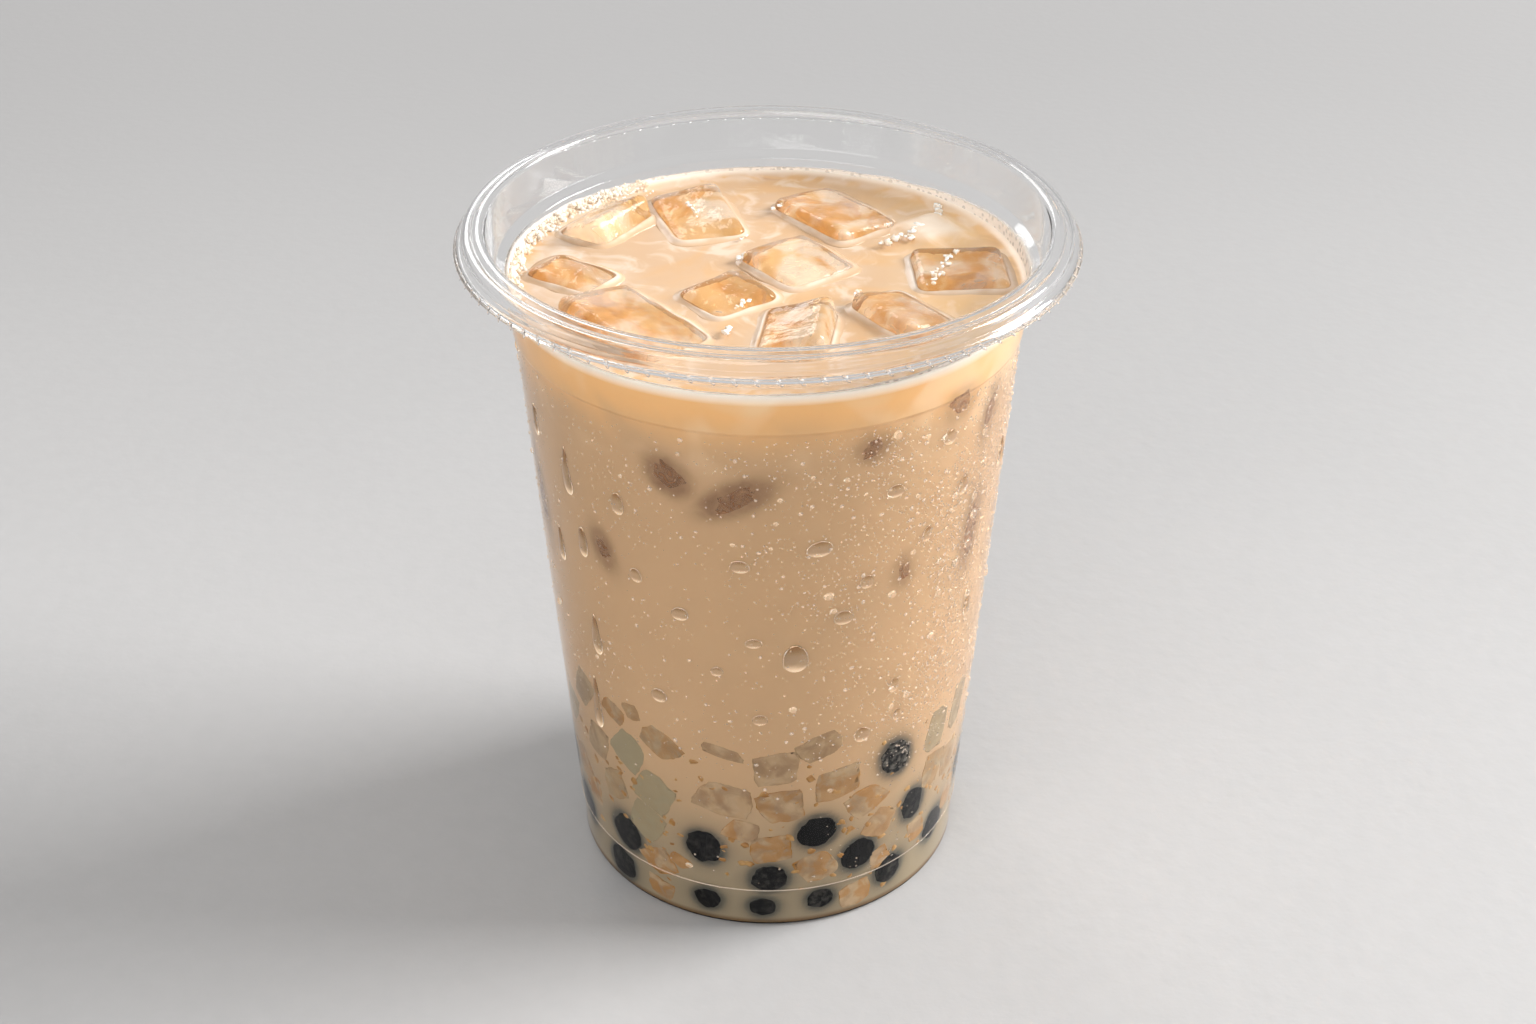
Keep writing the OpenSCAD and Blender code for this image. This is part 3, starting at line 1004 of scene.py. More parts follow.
class TEA_OT_cup(bpy.types.Operator):
    """Blow the clear cup: sheet, bead, skirt and ribs"""
    bl_idname = "milktea.cup"
    bl_label = "Clear Cup"

    SEGMENTS = 288
    WALL_SHEEN = 0.4             # share of its reflection that the wall keeps below the drink's level
    CREASE_R = 0.00013

    def execute(self, context):
        cup = context.scene.tea_cup
        sheet = softened(body_line(cup) + brim_line(cup), cup.corner_r)
        outer = shifted(sheet, -cup.wall / 2)
        inner = shifted(sheet, cup.wall / 2)
        outer[0][0] = 0.0
        inner[0][0] = 0.0
        plastic = clear_plastic()
        points, faces = spin(np.vstack([outer, inner[::-1]]), self.SEGMENTS)
        shell = make_object("cup_shell", points, faces, plastic)
        shell.data.materials.append(clear_plastic("clear_plastic_wall", self.WALL_SHEEN))
        for face in shell.data.polygons:
            face.material_index = int(face.center.z < TEA_Z)
        finish_piece(shell, "cup", "cup")
        finish_piece(self.ribs(cup, plastic), "cup")
        finish_piece(self.crease(cup), "cup")
        return {"FINISHED"}

    def crease(self, cup):
        """The fine bead of plastic along the stacking step, in a pale glowing finish that paints its
        bright line.
        """
        around, ring = 240, 8
        z = cup.foot_height + cup.foot_step
        radius = float(Wall(cup).outer(z)) - 0.00006
        points = []
        for i in range(around):
            turn = 2 * math.pi * i / around
            for j in range(ring):
                side = 2 * math.pi * j / ring
                r = radius + self.CREASE_R * math.cos(side)
                points.append((r * math.cos(turn), r * math.sin(turn),
                               z + self.CREASE_R * math.sin(side)))
        faces = grid_faces(around, ring, closed_rows=True)
        return make_object("foot_crease", points, faces, mist_finish("crease_gleam"))

    def ribs(self, cup, plastic):
        """Slanted ribs round the skirt, one rib repeated by rule."""
        outer = bead_radius(cup)
        top_z = CUP_HEIGHT - cup.bead_depth
        start = Vector((outer + 0.42 * cup.skirt_flare, 0, top_z - 0.42 * cup.skirt_drop))
        end = Vector((SKIRT_R - 0.00025, 0, top_z - cup.skirt_drop - 0.0001))
        along = end - start
        out = Vector((-along.z, 0, along.x)).normalized()
        points = []
        stations = 6
        ring = 6
        for i in range(stations + 1):
            t = i / stations
            fat = math.sin(math.pi * min(1.0, 0.16 + 0.84 * t)) ** 0.5 if t > 0.5 else 1.0
            fat = max(0.25, fat) * (0.4 if i == 0 else 1.0)
            centre = start + along * t + Vector((0, cup.rib_slant * (t - 0.5), 0))
            for j in range(ring):
                turn = 2 * math.pi * j / ring
                side = math.cos(turn) * cup.rib_width / 2 * fat
                rise = math.sin(turn) * 0.00014 * fat
                points.append(centre + Vector((0, side, 0)) + out * rise)
        faces = grid_faces(stations + 1, ring)
        faces += [list(range(ring))[::-1], [stations * ring + j for j in range(ring)]]
        rib = make_object("one_rib", points, faces, plastic)
        recipe = Recipe("ribbed_skirt", {"Material": "Material", "Rib": "Object", "Count": "Int"})
        line = recipe.node("GeometryNodeMeshLine", None, {
            "Count": recipe.given("Count"), "Offset": (0.0, 0.0, 0.0)})
        shape = recipe.node("GeometryNodeObjectInfo", None, {"Object": recipe.given("Rib")})
        index = recipe.node("GeometryNodeInputIndex").outputs[0]
        step = recipe.maths("DIVIDE", 2 * math.pi, recipe.given("Count"))
        turn = recipe.node("ShaderNodeCombineXYZ", None, {"Z": recipe.maths("MULTIPLY", index, step)})
        spread = recipe.node("GeometryNodeInstanceOnPoints", None, {
            "Points": line.outputs[0], "Instance": shape.outputs["Geometry"],
            "Rotation": turn.outputs[0]})
        recipe.finish(spread.outputs[0])
        ribs = recipe.grow(rib, "brim_ribs", {
            "Material": plastic, "Rib": link_object("one_rib_twin", rib.data.copy()),
            "Count": cup.rib_count})
        clear_scratch("one_rib")
        return ribs


def clear_scratch(prefix):
    """Removes the helper objects that a recipe was fed with."""
    for o in [o for o in bpy.data.objects if o.name.startswith(prefix)]:
        bpy.data.objects.remove(o)


class TEA_OT_drink(bpy.types.Operator):
    """Pour the milk tea, with its surface drawn up at the wall and the ice"""
    bl_idname = "milktea.drink"
    bl_label = "Milk Tea"

    SEGMENTS = 340
    # Strength and spread of the tint round pearls and over sunk ice
    HALO = [(0.62, 0.0009), (0.24, 0.0026)]
    SUNK = (0.55, 0.0014)
    # Distances in from the wall of the surface's outer rows, then the rows' pitch, in millimetres
    EDGE_GAPS = [0.15, 0.32, 0.52, 0.76, 1.05, 1.4, 1.8, 2.25]
    PITCH = 0.53

    def execute(self, context):
        look = context.scene.tea_drink
        cup = context.scene.tea_cup
        toppings = context.scene.tea_toppings
        wall = Wall(cup)
        rows = self.wall_rows(wall, look)
        top_r = rows[-1][0]
        inner = top_r * 1000 - self.EDGE_GAPS[-1]
        count = int(inner / self.PITCH)
        gaps = self.EDGE_GAPS + [self.EDGE_GAPS[-1] + inner * (i + 1) / (count + 1) for i in range(count)]
        rows += [(top_r - g / 1000, TEA_Z) for g in gaps]
        side_count = len(rows) - len(gaps)
        rows = [(0.0, rows[0][1])] + rows + [(0.0, TEA_Z)]
        points, faces = spin(rows, self.SEGMENTS)
        first_top = side_count * self.SEGMENTS
        top = np.zeros(len(points))
        top[first_top:] = 1.0
        top[-2] = 0.0
        wall_edge = np.maximum(top_r - np.hypot(points[:, 0], points[:, 1]), 0)
        is_top = top > 0.5
        height, amber, film = self.surface(points[is_top], wall_edge[is_top], look)
        points[is_top, 2] = height
        marks = {label: np.zeros(len(points)) for label in ("top", "amber", "film", "halo", "sunk")}
        marks["top"] = top
        marks["amber"][is_top] = amber
        marks["film"][is_top] = film
        side = ~is_top
        lift = points[side, 2] - TEA_Z
        marks["film"][side] = smoothstep(-0.0006, 0.0003, lift) * 0.95
        pearls = all_pearls(toppings)
        marks["halo"][side] = sum(
            strength * wall_mark(points[side], pearls, spread) for strength, spread in self.HALO)
        strength, spread = self.SUNK
        marks["sunk"][side] = strength * wall_mark(points[side], SUNK_ICE, spread)
        tea = make_object("tea_body", points, faces, tea_finish(look, False), marks)
        tea.data.materials.append(tea_finish(look, True))
        low_pole = len(points) - 2
        tea.data.polygons.foreach_set("material_index", [
            int(min(face) >= first_top - self.SEGMENTS and low_pole not in face) for face in faces])
        finish_piece(tea, "tea", "tea")
        return {"FINISHED"}

    def wall_rows(self, wall, look):
        """The drink's outline up the wall, in steps fine enough for its marks."""
        path = [tuple(p) for p in shifted(wall.inner_path, -look.bite)]
        highest = TEA_Z + look.wall_climb
        rows = []
        for (r0, z0), (r1, z1) in zip(path, path[1:]):
            longest = 0.0008 if z0 < 0.045 or z0 > 0.1035 else 0.0011
            if z0 < 0.003 and r1 < 0.0335:
                longest = 0.004
            steps = max(1, math.ceil(math.hypot(r1 - r0, z1 - z0) / longest))
            rows += [(r0 + (r1 - r0) * k / steps, z0 + (z1 - z0) * k / steps) for k in range(steps)]
        rows = [row for row in rows if row[1] <= highest and row[0] > 1e-5]
        rows.append((float(radius_at(path, highest)), highest))
        return rows

    def surface(self, points, edge, look):
        """Height, amber share and milk share of the open surface."""
        x = points[:, 0]
        y = points[:, 1]
        soft, fine, uneven = (
            np.array([ripple((a, b, 0), scale, seed) for a, b in zip(x, y)])
            for scale, seed in ((110.0, 0.0), (420.0, 5.0), (190.0, 2.0)))
        height = TEA_Z + look.wall_climb * np.exp(-edge / 0.0007) + soft * 0.00018 + fine * 0.00004
        gap = np.full(len(x), 1.0)
        for name, outline in zip(ICE_NODES, ice_outlines()):
            if name != VEILED_ICE:
                gap = np.minimum(gap, outline_gap(x, y, outline) + soft * 0.0003)
        sunk = smoothstep(0.0004, 0.0030, -gap)
        height -= sunk * look.pocket_depth * (1 + 0.45 * uneven)
        veil = outline_gap(x, y, ice_outlines()[ICE_NODES.index(VEILED_ICE)])
        height += look.veil * (1 - smoothstep(-0.0012, 0.0026, veil))
        amber = smoothstep(0.0, 0.0012, -gap)
        # Painted glow: a band of amber a little in from the wall, which also glows in the finish.
        rim = np.exp(-((edge - 0.0022) / 0.0014) ** 2)
        amber = np.maximum(amber, 0.40 * rim)
        film = 0.9 * np.exp(-(edge / 0.0009) ** 2)
        film = np.maximum(film, 0.16 * np.exp(-np.maximum(gap, 0) / 0.0022) * (gap > 0))
        film = np.maximum(film, 0.55 * (1 - smoothstep(-0.0026, 0.0012, veil)))
        return height, amber, film


class TEA_OT_ice(bpy.types.Operator):
    """Melt each cube of ice: rounded, dented and clear"""
    bl_idname = "milktea.ice"
    bl_label = "Ice Cubes"

    VOXEL = 0.0004
    MELT_STEPS = 5

    def execute(self, context):
        ice = ice_finish()
        for number, name in enumerate(ICE_NODES):
            work = bmesh.new()
            work.from_mesh(frame["nodes"][name].data)
            bmesh.ops.remove_doubles(work, verts=work.verts, dist=1e-6)
            low = min(v.co.z for v in work.verts)
            high = max(v.co.z for v in work.verts)
            mesh = bpy.data.meshes.new(name + "_melted")
            work.to_mesh(mesh)
            work.free()
            piece = link_object("melted_" + name, mesh)
            self.refine(piece)
            middle = sum((v.co for v in mesh.vertices), Vector()) / len(mesh.vertices)
            for v in mesh.vertices:
                away = (v.co - middle).normalized()
                dent = ripple(v.co, 130.0, number) * 0.00040 + ripple(v.co, 380.0, number + 9) * 0.00010
                v.co += away * (dent - 0.00015)
                v.co.z = min(max(v.co.z, low), high)
            mesh.materials.clear()
            mesh.materials.append(ice)
            shade_smooth(mesh)
            finish_piece(piece, "ice", name)
        self.menisci(context.scene.tea_drink)
        self.chips(random.Random(7))
        return {"FINISHED"}

    # The drink's edge against a cube: distance outside the ice and height above the level, in
    # millimetres with the height in shares of the climb, and how milky and how brown it is there.
    EDGE = [
        (-1.10, -1.5, 0.0, 1.0), (-0.70, 0.15, 0.0, 0.9), (-0.34, 0.80, 0.2, 0.7),
        (-0.12, 1.02, 0.9, 0.1), (0.12, 0.98, 1.0, 0.0), (0.40, 0.70, 0.8, 0.0), (0.80, 0.36, 0.4, 0.0),
        (1.35, 0.10, 0.1, 0.0), (2.00, -0.20, 0.0, 0.0), (1.50, -1.5, 0.0, 0.0),
    ]

    def menisci(self, look):
        """The pale lip of drink that climbs each cube, swept round the cube's outline."""
        around = 170
        points = []
        faces = []
        marks = {"crest": [], "line": []}
        for number, (name, outline) in enumerate(zip(ICE_NODES, ice_outlines())):
            if name == VEILED_ICE:
                continue
            line = self.even_loop(outline, around)
            ahead = np.roll(line, -1, axis=0) - np.roll(line, 1, axis=0)
            away = np.stack([ahead[:, 1], -ahead[:, 0]], 1) / np.linalg.norm(ahead, axis=1)[:, None]
            swell = np.array([ripple((p[0], p[1], 0), 210.0, number) for p in line])
            start = len(points) * around
            for offset, height, crest, brown in self.EDGE:
                reach = offset * (0.72 + 0.3 * swell) if offset > 0 else offset + 0 * swell
                spot = line + away * reach[:, None] / 1000
                radius = np.linalg.norm(spot, axis=1)
                spot *= np.minimum(1.0, TEA_R / radius)[:, None]
                lift = TEA_Z + look.ice_climb * height * (1 + 0.55 * swell * (height > 0))
                points.append(np.column_stack([spot, lift]))
                marks["crest"].append(np.full(around, crest))
                marks["line"].append(np.full(around, brown))
            faces += grid_faces(len(self.EDGE), around, start, closed_rows=True)
        lips = make_object("tea_menisci", np.vstack(points), faces, meniscus_finish(look),
                           {key: np.concatenate(value) for key, value in marks.items()})
        finish_piece(lips, "tea")

    def even_loop(self, outline, count):
        """A closed outline as evenly spaced points with its corners eased."""
        closed = np.vstack([outline, outline[:1]])
        runs = np.concatenate([[0], np.cumsum(np.linalg.norm(np.diff(closed, axis=0), axis=1))])
        at = np.arange(count) / count * runs[-1]
        line = np.stack([np.interp(at, runs, closed[:, k]) for k in (0, 1)], 1)
        for _ in range(14):
            line = (np.roll(line, 1, axis=0) + 2 * line + np.roll(line, -1, axis=0)) / 4
        return line

    # Lines of bits of ice and of bubbles, painted pale as glints: two ends in plan and height above the
    # level, how many, smallest and largest size and how far they stray, in millimetres.
    CHIPS = [
        ((19.0, 10.2), (22.2, 13.6), 0.9, 9, 0.5, 1.1, 0.6),
        ((23.4, 12.8), (25.6, 18.0), 0.8, 12, 0.5, 1.2, 0.7),
        ((26.6, 16.2), (29.6, 24.6), 0.5, 20, 0.5, 1.2, 0.8),
        ((29.8, 24.6), (29.6, 27.8), 0.4, 6, 0.5, 1.0, 0.5),
        ((25.8, -6.8), (31.0, 6.4), 1.9, 22, 0.3, 0.8, 0.9),
        ((36.4, 0.0), (38.0, 4.0), 1.2, 6, 0.25, 0.5, 0.4),
        ((8.0, -11.6), (7.0, -24.6), 1.2, 24, 0.35, 0.8, 0.35),
        ((10.2, -11.0), (9.2, -22.4), 0.3, 14, 0.3, 0.6, 0.4),
        ((-31.2, 18.3), (-22.8, 33.0), 1.1, 22, 0.2, 0.45, 0.15),
        ((-29.7, 12.9), (-19.9, 28.6), 2.4, 22, 0.2, 0.45, 0.15),
        ((-13.5, 25.2), (-11.8, 19.4), 1.9, 8, 0.3, 0.8, 0.5),
        ((-6.6, -22.0), (-6.0, -20.4), 0.9, 4, 0.5, 1.0, 0.4),
        ((-5.0, -14.6), (-3.4, -12.0), 1.6, 7, 0.3, 0.7, 0.6),
        ((0.8, 23.6), (2.8, 26.4), 1.5, 6, 0.4, 0.8, 0.5),
        ((-4.6, 4.0), (-3.8, 6.4), 1.0, 5, 0.5, 1.0, 0.4),
        ((13.4, -9.6), (15.0, -7.8), 1.2, 5, 0.3, 0.6, 0.4),
        ((-4.6, 12.8), (-3.4, 14.6), 0.5, 4, 0.3, 0.6, 0.3),
    ]

    def chips(self, rng):
        """Bits and bubbles on the ice, painted pale so that they catch the light as glints."""
        block, block_faces = rounded_block(2, 0.55)
        points = []
        faces = []
        for start, end, lift, count, small, large, stray in self.CHIPS:
            for i in range(count):
                share = (i + rng.uniform(0.1, 0.9)) / count
                x = start[0] + (end[0] - start[0]) * share + rng.uniform(-stray, stray)
                y = start[1] + (end[1] - start[1]) * share + rng.uniform(-stray, stray)
                size = rng.uniform(small, large) / 2
                stretch = np.array([rng.uniform(0.6, 1.4), rng.uniform(0.6, 1.4), rng.uniform(0.4, 0.9)])
                local = block * size * stretch * np.array([[rng.uniform(0.75, 1.25)] for _ in block])
                across, up = turned(local[:, 0], local[:, 1], rng.uniform(0, math.pi))
                faces += [[len(points) * len(block) + k for k in face] for face in block_faces]
                points.append(np.stack([x + across, y + up, TEA_Z * 1000 + lift + local[:, 2]], 1) / 1000)
        chips = make_object("ice_chips", np.vstack(points), faces, glint_chip_finish())
        finish_piece(chips, "ice")

    def refine(self, piece):
        """Turns the coarse block into an even fine mesh."""
        remesh = piece.modifiers.new("even", "REMESH")
        remesh.mode = "VOXEL"
        remesh.voxel_size = self.VOXEL
        smooth = piece.modifiers.new("melt", "SMOOTH")
        smooth.iterations = self.MELT_STEPS
        smooth.factor = 0.5
        bpy.context.view_layer.update()
        ready = piece.evaluated_get(bpy.context.evaluated_depsgraph_get())
        fine = bpy.data.meshes.new_from_object(ready)
        piece.modifiers.clear()
        mesh = piece.data
        work = bmesh.new()
        work.from_mesh(fine)
        work.to_mesh(mesh)
        work.free()
        bpy.data.meshes.remove(fine)


class TEA_OT_pearls(bpy.types.Operator):
    """Press the tapioca pearls against the wall"""
    bl_idname = "milktea.pearls"
    bl_label = "Tapioca Pearls"

    def execute(self, context):
        toppings = context.scene.tea_toppings
        wall = Wall(context.scene.tea_cup)
        points, faces, marks = press_to_wall(
            wall, all_pearls(toppings), steps=12, hardness=0.05, depth=1.0, proud=toppings.proud,
            rough=0.14, skew=0.05, extra=lambda row: {"bloom": row[5]})
        pearls = make_object("pearls", points, faces, pearl_finish(), marks)
        finish_piece(pearls, "pearls")
        return {"FINISHED"}


class TEA_OT_jelly(bpy.types.Operator):
    """Press the jelly cubes, crumbs and sunk ice against the wall"""
    bl_idname = "milktea.jelly"
    bl_label = "Jelly Cubes"

    JELLY_SHARE = 0.93           # size of the jelly and of the sunk ice against their rows
    SUNK_SHARE = 0.85
    CRUMBS = 420

    def execute(self, context):
        toppings = context.scene.tea_toppings
        wall = Wall(context.scene.tea_cup)
        points, faces, marks = press_to_wall(
            wall, scaled(all_jelly(toppings), self.JELLY_SHARE), steps=10, hardness=0.52, depth=0.95,
            proud=toppings.proud * 0.85, rough=0.12, skew=0.18,
            extra=lambda row: {"stain": row[5], "tone": row[6]})
        jelly = make_object("jelly_cubes", points, faces, jelly_finish(), marks)
        finish_piece(jelly, "jelly")
        points, faces, marks = press_to_wall(
            wall, scaled(SUNK_ICE, self.SUNK_SHARE), steps=12, hardness=0.3, depth=0.9,
            proud=toppings.proud * 0.7, sink=0.25, rough=0.3, skew=0.3)
        sunk = make_object("sunk_ice", points, faces, sunk_ice_finish(), marks)
        finish_piece(sunk, "ice")
        rng = random.Random(toppings.seed + 2)
        crumbs = []
        for _ in range(self.CRUMBS):
            size = rng.uniform(0.3, 0.95)
            crumbs.append((rng.uniform(-180, 180), rng.triangular(3.0, 44.0, 20.0), size,
                           size * rng.uniform(0.5, 1.0), rng.uniform(-60, 60)))
        points, faces, marks = press_to_wall(
            wall, crumbs, steps=3, hardness=0.2, depth=0.8, proud=toppings.proud * 0.95, sink=0.4,
            rough=0.3, skew=0.4)
        crumb = make_object("amber_crumbs", points, faces, crumb_finish(), marks)
        finish_piece(crumb, "jelly")
        return {"FINISHED"}


class TEA_OT_froth(bpy.types.Operator):
    """Leave the milky film and the froth where the drink meets the wall"""
    bl_idname = "milktea.froth"
    bl_label = "Froth"

    BAND = (118, 84)             # where the froth's band starts and how far it goes, in degrees
    FILM_LOW = 0.0006            # from the drink's level up to the film's lower edge
    FILM_FACES = (0.00004, 0.00018)      # how far the film's two faces stand off the wall

    def execute(self, context):
        wall = Wall(context.scene.tea_cup)
        self.film(wall, context)
        self.bubbles(wall, context.scene.tea_drink)
        return {"FINISHED"}

    def bubbles(self, wall, look):
        """Froth along the left of the wall: bubbles packed on a band by rule."""
        foam = froth_finish()
        base = self.band(wall, foam)
        work = bmesh.new()
        bmesh.ops.create_uvsphere(work, u_segments=8, v_segments=5, radius=1.0)
        ball_mesh = bpy.data.meshes.new("one_bubble")
        work.to_mesh(ball_mesh)
        work.free()
        ball = link_object("one_bubble", ball_mesh)
        recipe = Recipe("packed_bubbles", {
            "Material": "Material", "Bubble": "Object", "Density": "Float", "Apart": "Float",
            "Smallest": "Float", "Largest": "Float", "Seed": "Int"})
        thick = recipe.node("GeometryNodeInputNamedAttribute", None, {"Name": "thick"})
        strew = recipe.node("GeometryNodeDistributePointsOnFaces", {"distribute_method": "POISSON"}, {
            "Mesh": recipe.given("Geometry"), "Distance Min": recipe.given("Apart"),
            "Density Max": recipe.given("Density"), "Density Factor": thick.outputs[0],
            "Seed": recipe.given("Seed")})
        draw = recipe.node("FunctionNodeRandomValue", {"data_type": "FLOAT"}, {
            2: recipe.given("Smallest"), 3: recipe.given("Largest"), "Seed": recipe.given("Seed")})
        shape = recipe.node("GeometryNodeObjectInfo", None, {"Object": recipe.given("Bubble")})
        spread = recipe.node("GeometryNodeInstanceOnPoints", None, {
            "Points": strew.outputs["Points"], "Instance": shape.outputs["Geometry"],
            "Scale": draw.outputs[1]})
        recipe.finish(spread.outputs[0])
        froth = recipe.grow(base, "milk_froth", {
            "Material": foam, "Bubble": ball, "Density": look.froth_density, "Apart": 0.00034,
            "Smallest": 0.00018, "Largest": 0.00048, "Seed": 3})
        finish_piece(froth, "tea")
        bpy.data.objects.remove(base)
        clear_scratch("one_bubble")

    def band(self, wall, foam):
        """The strip of the surface and wall that froth clings to, with how thick it lies."""
        across = 8
        along = 220
        points = []
        thick = []
        for i in range(along + 1):
            turn = math.radians(self.BAND[0] + self.BAND[1] * i / along)
            ends = smoothstep(0, 0.10, i / along) * (1 - smoothstep(0.86, 1.0, i / along))
            ragged = 0.6 + 0.4 * ripple((math.cos(turn), math.sin(turn), 0), 14.0, 4.0)
            for j in range(across + 1):
                share = j / across
                z = TEA_Z + 0.0019 * (1 - share) ** 2 - 0.0001
                radius = float(wall.inner(TEA_Z + 0.001)) - 0.0006 - 0.0026 * share * ragged
                points.append((radius * math.cos(turn), radius * math.sin(turn), z))
                thick.append(float(ends * (1 - 0.55 * share ** 2)))
        faces = grid_faces(along + 1, across + 1, closed_ring=False)
        return make_object("froth_band", points, faces, foam, {"thick": thick}, recalc=False)

    def film(self, wall, context):
        """Thin band on the wall above the drink, ragged along its top."""
        segments = 360
        rows = 10
        turns = np.arange(segments) * 2 * math.pi / segments
        reach = np.array([self.film_height(t) for t in turns])
        low = TEA_Z + self.FILM_LOW
        points = []
        marks = []
        for stand_off in self.FILM_FACES:
            order = range(rows + 1) if stand_off == self.FILM_FACES[0] else range(rows, -1, -1)
            for i in order:
                z = low + (reach - self.FILM_LOW) * i / rows
                radius = wall.inner(z) - stand_off
                points.append(np.stack([radius * np.cos(turns), radius * np.sin(turns), z], -1))
                marks.append(np.full(segments, 1 - smoothstep(0.60, 1.0, i / rows)))
        faces = grid_faces(len(points), segments, closed_rows=True)
        film = make_object("milk_film", np.vstack(points), faces, film_finish(),
                           {"film": np.concatenate(marks)})
        finish_piece(film, "tea")

    def film_height(self, turn):
        """How far the film reaches up the wall at a bearing: most at the right and the left."""
        degrees = math.degrees(turn)
        right = math.exp(-(((degrees + 180) % 360 - 180) / 45) ** 2)
        left = math.exp(-((degrees - 175) / 35) ** 2)
        ragged = 0.5 + 0.5 * ripple((math.cos(turn), math.sin(turn), 0), 9.0)
        return 0.0011 + 0.0022 * right + 0.0015 * left + 0.0005 * ragged


class TEA_OT_water(bpy.types.Operator):
    """Let water bead, gather and run on the outside of the cup"""
    bl_idname = "milktea.water"
    bl_label = "Condensation"

    # Large drops and runs: bearing from the front, height of the thickest part, half width,
    # length below and above it, and thickness, in degrees and millimetres.
    DROPS = [
        (6.6, 60.6, 2.1, 2.2, 3.4, 0.75), (17.7, 68.4, 1.7, 1.3, 1.5, 0.6),
        (-6.2, 79.6, 1.6, 1.1, 1.3, 0.5), (11.5, 82.7, 2.1, 1.4, 1.6, 0.6),
        (23.4, 74.6, 1.2, 1.1, 1.5, 0.6), (33.0, 50.9, 1.0, 1.3, 1.7, 0.6),
        (35.2, 44.0, 0.9, 1.1, 1.4, 0.5), (-2.0, 48.2, 1.3, 1.0, 1.2, 0.5),
        (24.6, 42.4, 1.5, 1.6, 1.6, 0.6), (-32.0, 74.0, 1.2, 1.3, 1.4, 0.5),
        (-21.0, 68.6, 1.5, 1.2, 1.4, 0.5), (-3.6, 64.4, 1.4, 0.9, 1.0, 0.4),
        (-28.4, 50.0, 1.5, 1.3, 1.5, 0.5), (-35.6, 86.6, 1.3, 1.6, 2.6, 0.6),
        (-12.4, 58.0, 1.1, 0.9, 1.0, 0.4), (-52.2, 86.0, 1.3, 2.2, 7.0, 0.4),
        (-48.8, 74.6, 1.2, 2.0, 4.0, 0.4), (-47.9, 55.2, 1.3, 2.4, 6.0, 0.4),
        (-51.3, 38.0, 1.3, 2.6, 9.0, 0.4), (-60.0, 70.0, 1.2, 2.0, 5.0, 0.4),
        (-66.0, 92.0, 1.2, 2.0, 4.0, 0.4), (50.0, 86.0, 1.3, 1.5, 2.2, 0.6),
        (43.0, 97.4, 1.5, 1.3, 1.6, 0.6), (29.0, 91.0, 1.6, 1.1, 1.3, 0.5),
        (39.0, 80.0, 1.0, 1.1, 1.9, 0.5), (60.0, 58.0, 1.1, 1.6, 3.4, 0.6),
        (71.0, 84.0, 1.2, 1.8, 4.0, 0.6),
    ]

    DOME_RISE = 0.55             # height of a dome and depth of its base in the wall, for a radius of 1
    DOME_SINK = 0.12
    STREWN_RUNS = 46
    RUN_LEVELS = (1.0, 0.96, 0.86, 0.70, 0.48, 0.24)     # rings of a run, from its edge inwards
    BASE_LEVEL = 0.9             # its base lies in the wall, a little inside its edge
    BASE_SINK = 0.00006
    RUN_RISE = 0.8

    def execute(self, context):
        sizes = context.scene.tea_water
        wall = Wall(context.scene.tea_cup)
        water = water_finish()
        mist = mist_finish()
        sleeve = self.sleeve(wall, water)
        recipe = self.recipe()
        fine = self.dome("dome_mist", 5, 1, mist)
        bead = self.dome("dome_bead", 6, 2, mist)
        drop = self.dome("dome_drop", 10, 3, water)
        layers = (
            ("condensation_mist", fine, mist, sizes.mist_count, sizes.mist_r, 0.00030, sizes.seed + 2),
            ("condensation_beads", bead, mist, sizes.bead_count, sizes.bead_r, 0.00072, sizes.seed),
            ("condensation_drops", drop, water, sizes.drop_count, sizes.drop_r, 0.0024, sizes.seed + 1))
        for name, shape, skin, most, radius, apart, seed in layers:
            made = recipe.grow(sleeve, name, {
                "Material": skin, "Shape": shape, "Density": float(most), "Radius": radius,
                "Apart": apart, "Seed": seed})
            finish_piece(made, "water")
        bpy.data.objects.remove(sleeve)
        clear_scratch("dome_")
        self.runs(wall, sizes)
        return {"FINISHED"}

    def sleeve(self, wall, water):
        """The wall's outer face as an open sheet that says how wet each place is."""
        segments = 180
        levels = np.linspace(0.0095, 0.1035, 60)
        turns = np.arange(segments) * 2 * math.pi / segments
        points = []
        wet = []
        for z in levels:
            radius = float(wall.outer(z))
            for t in turns:
                points.append((radius * math.cos(t), radius * math.sin(t), z))
                wet.append(self.wetness(t, z))
        faces = grid_faces(len(levels), segments)
        return make_object("sleeve", points, faces, water, {"wet": wet}, recalc=False)

    def wetness(self, turn, z):
        """Share of the most water: dense towards the right, fading at the foot and in patches."""
        side = (math.degrees(turn - FRONT) + 180) % 360 - 180
        dense = 0.16 + 0.84 * smoothstep(-5, 55, side if side < 110 else 220 - side)
        high = smoothstep(0.022, 0.062, z)
        x, y = math.cos(turn), math.sin(turn)
        patches = smoothstep(-0.35, 0.35, ripple((x, y, z * 26), 2.6, 3.0))
        return float(dense * (0.12 + 0.88 * high) * (0.35 + 0.65 * patches))

    def dome(self, name, ring, levels, water):
        """A low dome of water of radius 1, its flat base sunk a little into the wall."""
        points = []
        for i in range(levels):
            t = i / levels * math.pi / 2
            rise = self.DOME_RISE * math.sin(t) - (self.DOME_SINK if i == 0 else 0.0)
            points += [(math.cos(t) * math.cos(2 * math.pi * j / ring),
                        math.cos(t) * math.sin(2 * math.pi * j / ring), rise) for j in range(ring)]
        points.append((0.0, 0.0, self.DOME_RISE))
        faces = [list(range(ring))[::-1]] + grid_faces(levels, ring)
        top = (levels - 1) * ring
        faces += [(top + j, top + (j + 1) % ring, len(points) - 1) for j in range(ring)]
        return make_object(name, points, faces, water)

